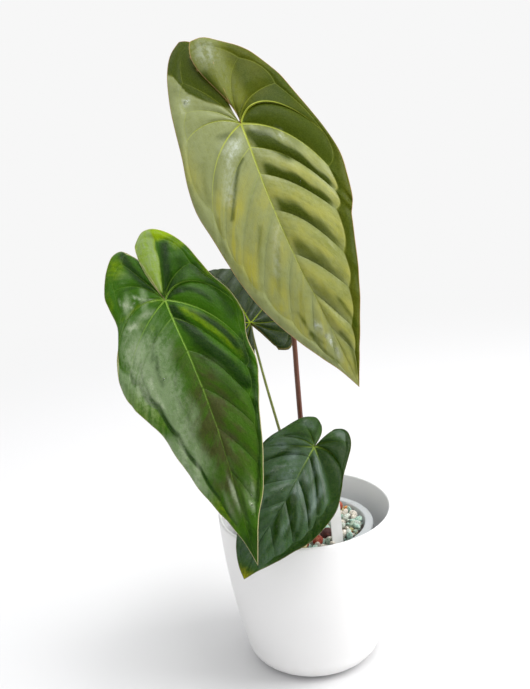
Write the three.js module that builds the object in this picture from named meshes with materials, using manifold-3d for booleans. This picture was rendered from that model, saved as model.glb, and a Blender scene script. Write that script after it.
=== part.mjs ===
// A potted anthurium hybrid: four hanging, quilted, heart-based leaves on one short stem. The stem
// stands in a thin nursery pot filled with mineral grit, and that pot stands in a smooth cover pot.
// Millimetres, +Z up. The origin is the middle of the cover pot's flat underside, and the leaves
// face -Y.
import * as THREE from 'three';
import { mergeVertices } from 'three/addons/utils/BufferGeometryUtils.js';
import Module from 'manifold-3d';

const wasm = await Module();
wasm.setup();

// Clearance between pieces that touch on the real plant.
const GAP = 0.3;

// Cover pot: radii of the rim, of the wall just above the rounded heel, and of the heel itself.
const COVER = { rim: 77.5, height: 142, shoulder: 62, heel: 20, belly: 3, wall: 3.2, floor: 5, sides: 48 };

// Nursery pot: it stands a little off the cover pot's axis, and its rim is a flange with a skirt.
const NURSERY = {
  x: 3.5, y: 1, base: 36, neck: 50.6, rim: 56.5, top: 126, skirt: 8, wall: 1.4, floor: 1.8, sides: 36,
};
const DRAIN = { radius: 4, ring: 23, count: 6 };

// Grit: its level below the nursery pot's rim, and the loose grains that cover it.
const GRIT = { level: 118, grains: 64, small: 3.6, large: 6.4, sunk: 0.3, sides: 36 };

// Stem: a short upright rootstock with leaf-scar rings.
const STEM = { x: 0.5, y: -0.5, foot: 92, top: 140, radius: 7, ring: 0.7, rings: 3, sides: 16 };

// Plant label: a plain flat stake.
const LABEL = { x: 27, y: -36, width: 10.4, thick: 1.2, foot: 94, top: 171, point: 10, lean: 2, turn: 26 };

// Blade thickness, and where the vein that runs along the margin lies between midrib and margin.
const BLADE = { thick: 1, vein: 0.84, scallop: 0.06 };
const ACROSS = { inner: [0, 0.14, 0.36, 0.62, 0.86, 1], outer: [0.5, 1] };

// One leaf each. joint is where the petiole meets the blade, tip is the blade's tip, and face is
// the way its upper side looks. arch, droop and fold bend the blade along and across; quilt is how
// high it stands between its sunken veins; wave is the margin's. midrib is the midrib's sideways
// offset at even steps from joint to tip. stations are where the veins leave the midrib, from the
// tip back to the joint. A side's margin runs from the tip round to the lobe, as distances across
// and toward the tip. A side's veins match the stations: the margin point that each ends at,
// counted from the tip, the angles at which it leaves and ends, measured from the tipward
// direction, and how far the blade is lifted there. The last one is the lobe's inner edge.
const TOP = {
  name: 'top', joint: [-26.4, -30, 480.5], tip: [48, -90, 283], face: [0.05, -1, 0.3],
  arch: 12, droop: 8, fold: 2, halfWidth: 70, quilt: 3.4, wave: 1, parts: 4,
  midrib: [0, -4, -5, -2, 0],
  stations: [220, 170, 140, 108, 72, 42, 20, 0, 0, 0, 0, 0],
  left: {
    margin: [
      [0, 220], [-8, 203], [-18, 187], [-28, 170], [-37, 152], [-45, 132], [-50, 113], [-53, 95],
      [-56, 72], [-59, 49], [-57, 27], [-52, 5], [-48, -18], [-43, -42], [-35, -66], [-26, -82],
      [-15, -90],
    ],
    veins: [
      [0, 25, 18, 0], [1.2, 25, 18, 0], [2.2, 30, 22, 0], [3.3, 42, 22, 0], [4.6, 42, 18, 0],
      [5.8, 48, 18, 0], [7, 65, 18, 0], [7.7, 74, 15, 0], [11, 138, 25, 0], [12.4, 152, 80, -1],
      [13.8, 165, 130, -3], [16, 168, 115, -9],
    ],
  },
  right: {
    margin: [
      [0, 220], [9, 200], [20, 176], [30, 153], [39, 128], [48, 99], [54, 87], [58.5, 68],
      [60.5, 50], [58, 28], [54, 10], [49, -8], [44, -27], [36, -44], [26, -59], [14, -71],
      [3, -80], [-8, -81],
    ],
    veins: [
      [0, 25, 15, 0], [1, 25, 15, 0], [1.7, 30, 25, 0], [2.8, 50, 28, 0], [3.7, 60, 25, 0],
      [4.8, 60, 30, 0], [5.4, 65, 22, 0], [6, 70, 10, 0], [8, 145, 10, 0], [11.5, 162, 70, 1],
      [13.6, 178, 95, 5], [17, 172, 143, 4],
    ],
  },
};
const LEFT = {
  name: 'left', joint: [-95.2, -60, 354.7], tip: [-38.8, -130, 159.4], face: [-0.05, -1, 0.35],
  arch: 12, droop: 8, fold: 4, halfWidth: 65, quilt: 3, wave: 1.2, parts: 4,
  midrib: [0, 5, 7, 4, 0],
  stations: [215, 175, 140, 106, 74, 43, 15, 0, 0, 0, 0, 0],
  left: {
    margin: [
      [0, 215], [-3.5, 195], [-9, 179], [-15.5, 163], [-21.5, 148], [-26.5, 131], [-31.5, 114],
      [-36.5, 96], [-45, 82], [-52.5, 67], [-56, 50], [-51.5, 34], [-46.5, 17], [-44, 5],
      [-46, -9], [-47, -22], [-42, -38], [-33, -50], [-25, -53], [-20, -48],
    ],
    veins: [
      [0, 20, 12, 0], [1.5, 20, 12, 0], [2.7, 28, 15, 0], [4.2, 35, 15, 0], [5.8, 42, 15, 0],
      [7.3, 50, 20, 0], [8.6, 62, 22, 0], [9.2, 62, 20, 0], [10.5, 118, 10, 0], [14.5, 148, 40, 0],
      [17, 152, 140, -3], [19, 157, 125, -8],
    ],
  },
  right: {
    margin: [
      [0, 215], [6, 199], [13, 181], [23, 163], [30, 144], [36, 125], [41, 104], [47, 85],
      [51.5, 67], [50, 48], [53.5, 29], [49, 9], [40, -7], [34, -22], [28, -37], [19, -50],
      [8, -58], [-3, -59.5], [-11, -51],
    ],
    veins: [
      [0, 20, 12, 0], [1.3, 20, 12, 0], [2.4, 28, 18, 0], [3.8, 38, 20, 0], [5.2, 50, 20, 0],
      [6.2, 62, 28, 0], [7.3, 58, 30, 0], [7.8, 66, 8, 0], [9.9, 142, 12, 0], [13, 160, 85, 2],
      [16, 172, 175, 6], [18, 200, 170, 1],
    ],
  },
};
const FRONT = {
  name: 'front', joint: [11.4, -45, 217.1], tip: [-51.7, -110, 137.5], face: [0, -1, 0.6],
  arch: 9, droop: 4, fold: 1.5, halfWidth: 45, quilt: 2.4, wave: 0.8, parts: 3,
  midrib: [0, 0, 0, -2.5, 0],
  stations: [121, 98, 75, 52, 31, 10, 0, 0, 0, 0],
  left: {
    margin: [
      [0, 121], [-9, 113.5], [-17, 103], [-23, 90], [-29, 74], [-35, 56], [-39, 38], [-40, 22],
      [-37, 9], [-31, -4], [-25, -16], [-19, -24], [-12, -28.5], [-6, -25],
    ],
    veins: [
      [0, 25, 15, 0], [1, 25, 15, 0], [2.1, 32, 20, 0], [3.3, 40, 20, 0], [4.5, 50, 20, 0],
      [5.6, 80, 25, 0], [6.5, 62, 15, 0], [7.8, 108, 50, 0], [10.5, 150, 130, -2],
      [13, 183, 127, -5],
    ],
  },
  right: {
    margin: [
      [0, 121], [7, 110], [16, 98], [25, 84], [33, 71], [38, 54], [40, 38], [36.5, 23], [32, 9],
      [29, -6], [26, -18], [20, -27], [14, -29], [8, -25],
    ],
    veins: [
      [0, 25, 15, 0], [0.9, 25, 15, 0], [1.9, 32, 20, 0], [2.9, 40, 25, 0], [3.8, 52, 22, 0],
      [4.3, 48, 25, 0], [4.9, 48, 12, 0], [7.5, 120, 20, 0], [10.3, 160, 130, 2],
      [13, 172, 150, 1],
    ],
  },
};
const BACK = {
  name: 'back', joint: [-35, 26, 306.7], tip: [-80, 125, 332], face: [0, -0.3, 1],
  arch: 16, droop: 3, fold: 1.5, halfWidth: 50, quilt: 2.4, wave: 0.8, parts: 3,
  midrib: [0, 0, 0, 2.5, 0],
  stations: [118, 96, 74, 51, 30, 10, 0, 0, 0, 0],
  left: {
    margin: [
      [0, 118], [-7, 110], [-16, 98], [-26, 85], [-36, 72], [-44, 56], [-48, 38], [-48, 22],
      [-45, 8], [-41, -4], [-36, -14], [-30, -22], [-22, -27], [-13, -26],
    ],
    veins: [
      [0, 25, 15, 0], [0.9, 25, 15, 0], [1.9, 32, 20, 0], [2.9, 40, 25, 0], [3.8, 52, 22, 0],
      [4.6, 55, 25, 0], [5.4, 60, 12, 0], [8, 110, 30, 3], [10.5, 132, 100, 4],
      [13, 148, 150, 2],
    ],
  },
  right: {
    margin: [
      [0, 118], [8, 108], [17, 96], [26, 82], [34, 68], [40, 52], [42, 36], [42, 20], [40, 5],
      [37, -8], [32, -17], [25, -24], [17, -27], [8, -23],
    ],
    veins: [
      [0, 25, 15, 0], [1, 25, 15, 0], [2, 32, 20, 0], [3, 40, 22, 0], [4, 50, 22, 0],
      [4.7, 52, 25, 0], [5.4, 55, 12, 0], [8, 120, 25, 0], [10.6, 155, 120, -1],
      [13, 170, 150, 1],
    ],
  },
};

// Petioles: the path from inside the stem up to just behind the blade, the radius at the foot and
// at the top, and how much the joint under the blade is swollen.
const PETIOLES = [
  {
    blade: TOP, foot: 2.5, top: 1.9, knee: 0.7, reach: 9, steps: 26,
    path: [
      [3.5, 2.5, 130], [3.5, 2, 150], [2.6, 0.5, 190], [2, 0, 234], [1.8, 0, 267], [1.6, 0, 299],
      [-1, 1, 345], [-6, 3, 395], [-13, 3, 440], [-21, -3, 465],
    ],
  },
  {
    blade: LEFT, foot: 2.3, top: 1.8, knee: 0.6, reach: 9, steps: 22,
    path: [
      [-4, -2.5, 130], [-6, -5, 147], [-11.6, -8, 167], [-22, -14, 190], [-33, -20, 212],
      [-51, -28, 254], [-70, -36, 303], [-86, -42, 337],
    ],
  },
  {
    blade: FRONT, foot: 1.6, top: 1.2, knee: 0.5, reach: 6, steps: 14,
    path: [[4.5, -5, 130], [5.5, -8, 150], [8, -15, 182], [10.5, -29, 205]],
  },
  {
    blade: BACK, foot: 1.6, top: 1.1, knee: 0.5, reach: 6, steps: 20,
    path: [
      [-3, 4.5, 130], [-6, 8, 150], [-12, 11, 185], [-18.8, 14, 219], [-25.5, 17, 252],
      [-30, 20, 276],
    ],
  },
];
const PETIOLE_SIDES = 8;

const MATERIALS = {
  cover: new THREE.MeshStandardMaterial({ color: 0xf1f0ee, roughness: 0.38, metalness: 0 }),
  nursery: new THREE.MeshStandardMaterial({ color: 0xdfe3e2, roughness: 0.35, metalness: 0 }),
  grit: new THREE.MeshStandardMaterial({ color: 0xa8a092, roughness: 0.9, metalness: 0 }),
  label: new THREE.MeshStandardMaterial({ color: 0xf4f4f1, roughness: 0.45, metalness: 0 }),
  stem: new THREE.MeshStandardMaterial({ color: 0x6c7040, roughness: 0.6, metalness: 0 }),
  top: new THREE.MeshStandardMaterial({ color: 0x7f8c34, roughness: 0.42, metalness: 0 }),
  left: new THREE.MeshStandardMaterial({ color: 0x3f7a12, roughness: 0.36, metalness: 0 }),
  front: new THREE.MeshStandardMaterial({ color: 0x34553a, roughness: 0.4, metalness: 0 }),
  back: new THREE.MeshStandardMaterial({ color: 0x33453a, roughness: 0.45, metalness: 0 }),
  maroon: new THREE.MeshStandardMaterial({ color: 0x5c3222, roughness: 0.45, metalness: 0 }),
  olive: new THREE.MeshStandardMaterial({ color: 0x77783c, roughness: 0.45, metalness: 0 }),
};
const PETIOLE_MATERIAL = { top: 'maroon', left: 'olive', front: 'olive', back: 'olive' };

const radians = THREE.MathUtils.degToRad;
const lerp = THREE.MathUtils.lerp;

// Solids for joining and cutting

function solidOf(geometry) {
  const bare = geometry.clone();
  bare.deleteAttribute('normal');
  bare.deleteAttribute('uv');
  const merged = mergeVertices(bare, 1e-4);
  const index = merged.index.array;
  const kept = [];
  for (let i = 0; i < index.length; i += 3) {
    const [a, b, c] = [index[i], index[i + 1], index[i + 2]];
    if (a !== b && b !== c && a !== c) kept.push(a, b, c);
  }
  return new wasm.Manifold(new wasm.Mesh({
    numProp: 3,
    vertProperties: new Float32Array(merged.attributes.position.array),
    triVerts: new Uint32Array(kept),
  }));
}

function geometryOf(solid) {
  const { vertProperties, triVerts } = solid.getMesh();
  const geometry = new THREE.BufferGeometry();
  geometry.setAttribute('position', new THREE.BufferAttribute(new Float32Array(vertProperties), 3));
  geometry.setIndex(new THREE.BufferAttribute(new Uint32Array(triVerts), 1));
  return geometry;
}

// The largest of the loose bodies that a cut leaves.
function largest(solid) {
  return solid.decompose().reduce((a, b) => (b.volume() > a.volume() ? b : a));
}

// Turns every face round when the faces enclose a negative volume.
function facingOut(geometry) {
  const p = geometry.attributes.position;
  const index = geometry.index.array;
  const [a, b, c] = [new THREE.Vector3(), new THREE.Vector3(), new THREE.Vector3()];
  let volume = 0;
  for (let i = 0; i < index.length; i += 3) {
    a.fromBufferAttribute(p, index[i]);
    b.fromBufferAttribute(p, index[i + 1]);
    c.fromBufferAttribute(p, index[i + 2]);
    volume += a.dot(b.cross(c));
  }
  if (volume < 0) {
    for (let i = 0; i < index.length; i += 3) [index[i], index[i + 1]] = [index[i + 1], index[i]];
  }
  return geometry;
}

// A turned body about +Z from [radius, height] points.
function turned(profile, sides) {
  const points = profile.map(([r, z]) => new THREE.Vector2(r, z));
  return facingOut(new THREE.LatheGeometry(points, sides).rotateX(Math.PI / 2));
}

function arc(centreR, centreZ, radius, from, to, steps) {
  return Array.from({ length: steps + 1 }, (_, i) => {
    const angle = radians(lerp(from, to, i / steps));
    return [centreR + radius * Math.cos(angle), centreZ + radius * Math.sin(angle)];
  });
}

// Cover pot: flat foot, rounded heel, a wall that swells a little and ends in a rounded lip

function coverWall(z) {
  const t = (z - COVER.heel) / (COVER.height - COVER.heel);
  return lerp(COVER.shoulder, COVER.rim, t) + COVER.belly * 4 * t * (1 - t);
}

function coverPot() {
  const { rim, height, shoulder, heel, wall, floor, sides } = COVER;
  const lip = wall / 2;
  const levels = [1 / 6, 2 / 6, 3 / 6, 4 / 6, 5 / 6].map(f => lerp(heel, height - lip, f));
  const innerHeel = heel - wall;
  return turned([
    [0, 0],
    ...arc(shoulder - heel, heel, heel, -90, 0, 5),
    ...levels.map(z => [coverWall(z), z]),
    ...arc(rim - lip, height - lip, lip, 0, 180, 4),
    ...levels.toReversed().map(z => [coverWall(z) - wall, z]),
    ...arc(shoulder - wall - innerHeel, floor + innerHeel, innerHeel, 0, -90, 4),
    [0, floor],
  ], sides);
}

// Nursery pot: thin tapered wall, flanged rim with a skirt, and drain holes in its floor

const NURSERY_FOOT = COVER.floor + GAP;

function nurseryInner(z) {
  const t = (z - NURSERY_FOOT) / (NURSERY.top - NURSERY_FOOT);
  return lerp(NURSERY.base, NURSERY.neck, t) - NURSERY.wall;
}

function nurseryPot() {
  const { base, neck, rim, top, skirt, wall, floor, sides } = NURSERY;
  const body = solidOf(turned([
    [0, NURSERY_FOOT], [base, NURSERY_FOOT],
    [neck - 0.2, top - wall], [rim - wall, top - wall], [rim - wall, top - skirt],
    [rim, top - skirt], [rim, top - 0.8], [rim - 0.8, top], [neck - wall, top],
    [nurseryInner(NURSERY_FOOT + floor), NURSERY_FOOT + floor], [0, NURSERY_FOOT + floor],
  ], sides));
  const drill = angle => solidOf(new THREE.CylinderGeometry(DRAIN.radius, DRAIN.radius, 4 * floor, 12)
    .rotateX(Math.PI / 2)
    .translate(DRAIN.ring * Math.cos(angle), DRAIN.ring * Math.sin(angle), NURSERY_FOOT));
  let pot = body;
  for (let i = 0; i < DRAIN.count; i += 1) pot = pot.subtract(drill(2 * Math.PI * i / DRAIN.count));
  return geometryOf(pot);
}

// Stem: a turned rootstock with a few leaf-scar rings and a rounded top

function stemSolid(clearance) {
  const { x, y, foot, top, radius, ring, rings, sides } = STEM;
  const crown = top - radius;
  const scars = [];
  for (let i = 0; i < rings; i += 1) {
    const z = lerp(crown - 14, crown - 2, i / (rings - 1));
    scars.push([radius, z - 1.5], [radius + ring, z], [radius, z + 1.5]);
  }
  const outline = [[0, foot], [radius - 2, foot], [radius, foot + 6], ...scars,
    ...arc(0, crown, radius, 20, 90, 3)];
  const grown = outline.map(([r, z]) => [r > 0.01 ? r + clearance : 0, z]);
  grown[0][1] -= clearance;
  grown[1][1] -= clearance;
  grown[grown.length - 1] = [0, top + clearance];
  return solidOf(turned(grown, sides).translate(x, y, 0));
}

// Label: a flat stake with a pointed foot, leaning a little

function labelSolid(clearance) {
  const { x, y, width, thick, foot, top, point, lean, turn } = LABEL;
  const half = width / 2 + clearance;
  const outline = new THREE.Shape([
    new THREE.Vector2(-half, foot + point - clearance), new THREE.Vector2(0, foot - 2 * clearance),
    new THREE.Vector2(half, foot + point - clearance), new THREE.Vector2(half, top - 1.5 + clearance),
    new THREE.Vector2(half - 1.5, top + clearance), new THREE.Vector2(1.5 - half, top + clearance),
    new THREE.Vector2(-half, top - 1.5 + clearance),
  ]);
  const depth = thick + 2 * clearance;
  const stake = new THREE.ExtrudeGeometry(outline, { depth, bevelEnabled: false })
    .translate(0, -foot, -depth / 2)
    .rotateZ(radians(lean))
    .rotateX(Math.PI / 2)
    .rotateZ(radians(turn))
    .translate(x, y, foot);
  return solidOf(stake);
}

// Grit: a solid plug in the nursery pot, with its grains fused on top and plain holes for what
// stands in it

function seeded(seed) {
  let state = seed;
  return () => {
    state = (Math.imul(state, 1664525) + 1013904223) >>> 0;
    return state / 4294967296;
  };
}

function gritSolid() {
  const { level, grains, small, large, sunk, sides } = GRIT;
  const foot = NURSERY_FOOT + NURSERY.floor + GAP;
  const reach = nurseryInner(level) - GAP;
  const random = seeded(7);
  let plug = solidOf(turned([
    [0, foot], [nurseryInner(foot) - GAP, foot], [reach, level], [0, level + 1],
  ], sides));
  const goldenAngle = Math.PI * (3 - Math.sqrt(5));
  const turn = () => 2 * Math.PI * random();
  const loose = [];
  for (let i = 0; i < grains; i += 1) {
    const size = lerp(small, large, random() ** 1.6);
    const out = (reach - size - 0.6) * Math.sqrt((i + 0.5) / grains);
    const angle = i * goldenAngle;
    const stone = new THREE.IcosahedronGeometry(size, 0)
      .scale(1, lerp(0.7, 1, random()), lerp(0.6, 0.9, random()))
      .rotateX(turn()).rotateY(turn()).rotateZ(turn())
      .translate(out * Math.cos(angle), out * Math.sin(angle), level + 0.5 - sunk * size);
    loose.push(solidOf(stone));
  }
  for (const stone of loose) plug = plug.add(stone);
  return plug.translate([NURSERY.x, NURSERY.y, 0])
    .subtract(stemSolid(GAP))
    .subtract(labelSolid(GAP));
}

// Leaf blades

// A smooth line through points, where u counts the points from 0.
function along(points, u) {
  const i = Math.min(Math.floor(u), points.length - 2);
  const f = u - i;
  const point = k => points[Math.max(0, Math.min(points.length - 1, k))];
  const [a, b, c, d] = [point(i - 1), point(i), point(i + 1), point(i + 2)];
  return b.map((_, k) => 0.5 * (2 * b[k] + (c[k] - a[k]) * f
    + (2 * a[k] - 5 * b[k] + 4 * c[k] - d[k]) * f ** 2
    + (3 * b[k] - a[k] - 3 * c[k] + d[k]) * f ** 3));
}

// A point of one half blade. t counts the veins from the tip, and s runs along a vein from the
// midrib to the margin. Returns the distance across, the distance toward the tip and the height.
function bladePoint(blade, side, t, s) {
  const { stations, midrib } = blade;
  const { margin, veins } = side < 0 ? blade.left : blade.right;
  const k = Math.min(Math.floor(t), stations.length - 2);
  const f = t - k;
  const [knot, leave, arrive, lift] = veins[k].map((value, i) => lerp(value, veins[k + 1][i], f));
  const station = lerp(stations[k], stations[k + 1], f);
  const [offset] = along(midrib.map(x => [x]), station / stations[0] * (midrib.length - 1));
  const start = [offset, station];
  const end = along(margin, knot);
  const chord = Math.hypot(end[0] - start[0], end[1] - start[1]);
  const pull = chord / Math.cos(radians(arrive - leave) / 4) ** 2;
  const heading = angle => [side * Math.sin(radians(angle)), Math.cos(radians(angle))];
  const [go, come] = [heading(leave), heading(arrive)];
  const [x, a] = start.map((_, i) => (2 * s ** 3 - 3 * s ** 2 + 1) * start[i]
    + (s ** 3 - 2 * s ** 2 + s) * pull * go[i]
    + (3 * s ** 2 - 2 * s ** 3) * end[i]
    + (s ** 3 - s ** 2) * pull * come[i]);
  const v = a / stations[0];
  const w = x / blade.halfWidth;
  const between = Math.abs(Math.sin(Math.PI * t));
  const ease = Math.min(1, t / 1.5, chord / 25);
  const vein = BLADE.vein + BLADE.scallop * between;
  const inner = Math.min(1, s / vein);
  const outer = Math.max(0, (s - vein) / (1 - vein));
  const n = blade.arch * 4 * v * (1 - v) - blade.droop * w ** 2 - blade.fold * Math.abs(w)
    + blade.quilt * ease * between ** 0.7 * Math.sin(Math.PI * inner ** 0.75) ** 0.6
    + blade.quilt * ease * (0.3 * Math.sin(Math.PI * outer) - 0.5 * outer ** 2)
    + blade.wave * ease * outer * Math.cos(2 * Math.PI * t)
    + lift * s;
  return [x, a, n];
}

// One closed blade, triangulated alike on both faces. rise and sink move the two faces off the
// blade's own upper surface.
function bladeGeometry(blade, rise, sink) {
  const { stations, parts } = blade;
  const rows = (stations.length - 1) * parts;
  const jointRow = stations.indexOf(0) * parts;
  const columns = ACROSS.inner.length + ACROSS.outer.length - 1;
  const corners = [];
  const numbers = new Map();
  const corner = (side, i, j) => {
    const atTip = i === 0;
    const onMidrib = atTip || j === 0;
    const row = onMidrib ? Math.min(i, jointRow) : i;
    const key = onMidrib ? `m${row}` : `${side}:${row}:${j}`;
    if (!numbers.has(key)) {
      const t = row / parts;
      const vein = BLADE.vein + BLADE.scallop * Math.abs(Math.sin(Math.PI * t));
      const s = j < ACROSS.inner.length
        ? vein * ACROSS.inner[j]
        : vein + (1 - vein) * ACROSS.outer[j - ACROSS.inner.length];
      const [x, a, n] = bladePoint(blade, side, t, onMidrib ? 0 : s);
      numbers.set(key, corners.length);
      corners.push([x, -a, n]);
    }
    return numbers.get(key);
  };
  const faces = [];
  const face = (a, b, c) => {
    if (a !== b && b !== c && a !== c) faces.push([a, b, c]);
  };
  for (const side of [-1, 1]) {
    for (let i = 0; i < rows; i += 1) {
      for (let j = 0; j < columns; j += 1) {
        const [a, b] = [corner(side, i, j), corner(side, i, j + 1)];
        const [c, d] = [corner(side, i + 1, j + 1), corner(side, i + 1, j)];
        const quad = side < 0 ? [a, b, c, d] : [b, a, d, c];
        face(quad[0], quad[1], quad[2]);
        face(quad[0], quad[2], quad[3]);
      }
    }
  }
  const count = corners.length;
  const edges = new Set(faces.flatMap(([a, b, c]) => [`${a}:${b}`, `${b}:${c}`, `${c}:${a}`]));
  const closed = faces.flatMap(([a, b, c]) => [a, b, c, count + c, count + b, count + a]);
  for (const edge of edges) {
    const [a, b] = edge.split(':').map(Number);
    if (!edges.has(`${b}:${a}`)) closed.push(b, a, count + a, b, count + a, count + b);
  }
  const positions = [
    ...corners.flatMap(([x, y, z]) => [x, y, z + rise]),
    ...corners.flatMap(([x, y, z]) => [x, y, z - sink]),
  ];
  const geometry = new THREE.BufferGeometry();
  geometry.setAttribute('position', new THREE.Float32BufferAttribute(positions, 3));
  geometry.setIndex(closed);
  return facingOut(geometry);
}

// Across, from tip to joint, and out of the upper face: the blade's own axes.
function bladeAxes(blade) {
  const joint = new THREE.Vector3(...blade.joint);
  const back = joint.clone().sub(new THREE.Vector3(...blade.tip)).normalize();
  const up = new THREE.Vector3(...blade.face);
  up.addScaledVector(back, -up.dot(back)).normalize();
  const across = new THREE.Vector3().crossVectors(back, up);
  return new THREE.Matrix4().makeBasis(across, back, up).setPosition(joint);
}

// Petioles

// A round tube along a path, with its radius given by a function of the way along.
function tapered(points, radiusAt, steps) {
  const path = new THREE.CatmullRomCurve3(points, false, 'centripetal');
  const ring = new THREE.Shape(Array.from({ length: PETIOLE_SIDES }, (_, i) => {
    const angle = 2 * Math.PI * i / PETIOLE_SIDES;
    return new THREE.Vector2(Math.cos(angle), Math.sin(angle));
  }));
  const tube = new THREE.ExtrudeGeometry(ring, { steps, extrudePath: path });
  const centres = path.getSpacedPoints(steps);
  const p = tube.attributes.position;
  const corner = new THREE.Vector3();
  for (let i = 0; i < p.count; i += 1) {
    corner.fromBufferAttribute(p, i);
    const distances = centres.map(centre => centre.distanceTo(corner));
    const near = distances.indexOf(Math.min(...distances));
    corner.sub(centres[near]).multiplyScalar(radiusAt(near / steps)).add(centres[near]);
    p.setXYZ(i, corner.x, corner.y, corner.z);
  }
  return tube;
}

function petioleGeometry({ blade, path, foot, top, knee, reach, steps }) {
  const axes = bladeAxes(blade);
  const behind = new THREE.Vector3(0, 0, -reach).applyMatrix4(axes);
  const through = new THREE.Vector3(0, 0, 1).applyMatrix4(axes);
  const points = [...path.map(point => new THREE.Vector3(...point)), behind, through];
  const radiusAt = t => lerp(foot, top, Math.min(1, t * 1.3)) + knee * Math.exp(-(((1 - t) / 0.06) ** 2));
  const cutter = solidOf(bladeGeometry(blade, 12, BLADE.thick + GAP).applyMatrix4(axes));
  const whole = solidOf(tapered(points, radiusAt, steps)).subtract(cutter).subtract(stemSolid(GAP));
  return geometryOf(largest(whole));
}

// The whole plant

const plant = new THREE.Group();

function piece(name, geometry, material) {
  const mesh = new THREE.Mesh(geometry, MATERIALS[material]);
  mesh.name = name;
  plant.add(mesh);
  return mesh;
}

piece('cover_pot', coverPot(), 'cover');
piece('nursery_pot', nurseryPot(), 'nursery').position.set(NURSERY.x, NURSERY.y, 0);
piece('grit', geometryOf(gritSolid()), 'grit');
piece('plant_label', geometryOf(labelSolid(0)), 'label');
piece('stem', geometryOf(stemSolid(0)), 'stem');
for (const petiole of PETIOLES) {
  const { name } = petiole.blade;
  piece(`petiole_${name}`, petioleGeometry(petiole), PETIOLE_MATERIAL[name]);
  const blade = piece(`blade_${name}`, bladeGeometry(petiole.blade, 0, BLADE.thick), name);
  bladeAxes(petiole.blade).decompose(blade.position, blade.quaternion, blade.scale);
}

export default plant;
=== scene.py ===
# A potted anthurium hybrid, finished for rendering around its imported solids: cover pot, nursery
# pot, grit, label, stem, four quilted leaves on their stalks and a few water drops.
# Tables and profiles are in millimetres, and MM turns them into metres.
import math

import bmesh
import bpy
import numpy as np
from mathutils import Matrix, Vector, kdtree
from mathutils.bvhtree import BVHTree


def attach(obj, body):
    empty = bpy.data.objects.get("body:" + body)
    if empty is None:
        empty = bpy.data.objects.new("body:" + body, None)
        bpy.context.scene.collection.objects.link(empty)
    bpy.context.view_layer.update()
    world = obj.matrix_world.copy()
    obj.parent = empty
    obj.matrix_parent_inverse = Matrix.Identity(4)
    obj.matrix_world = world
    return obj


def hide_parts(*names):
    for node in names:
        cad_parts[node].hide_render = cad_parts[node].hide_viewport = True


MM = 0.001

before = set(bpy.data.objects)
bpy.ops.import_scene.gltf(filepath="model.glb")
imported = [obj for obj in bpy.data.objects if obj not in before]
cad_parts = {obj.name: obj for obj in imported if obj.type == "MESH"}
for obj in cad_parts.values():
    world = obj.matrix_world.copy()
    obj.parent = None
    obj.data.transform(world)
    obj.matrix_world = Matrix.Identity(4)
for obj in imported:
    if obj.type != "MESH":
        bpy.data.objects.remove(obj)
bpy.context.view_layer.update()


# Cover pot
# A slip-cast pot in a satin white glaze. It has a flat foot, a rounded heel, a wall that swells a
# little, and a soft rolled lip. It is turned here as one closed shell.

class Value:
    """A node's output that takes part in arithmetic: each operation adds a Math node."""

    def __init__(self, graph, node, socket):
        self.graph, self.node, self.socket = graph, node, socket

    def __getitem__(self, name):
        return Value(self.graph, self.node, self.node.outputs[name])

    def math(self, operation, *others):
        return self.graph.math(operation, self, *others)

    def __add__(self, other):
        return self.math("ADD", other)

    def __mul__(self, other):
        return self.math("MULTIPLY", other)

    def __sub__(self, other):
        return self.math("SUBTRACT", other)

    def __rsub__(self, other):
        return self.graph.math("SUBTRACT", other, self)

    def __truediv__(self, other):
        return self.math("DIVIDE", other)

    def __pow__(self, other):
        return self.math("POWER", other)

    def __abs__(self):
        return self.math("ABSOLUTE")

    __radd__, __rmul__ = __add__, __mul__


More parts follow.
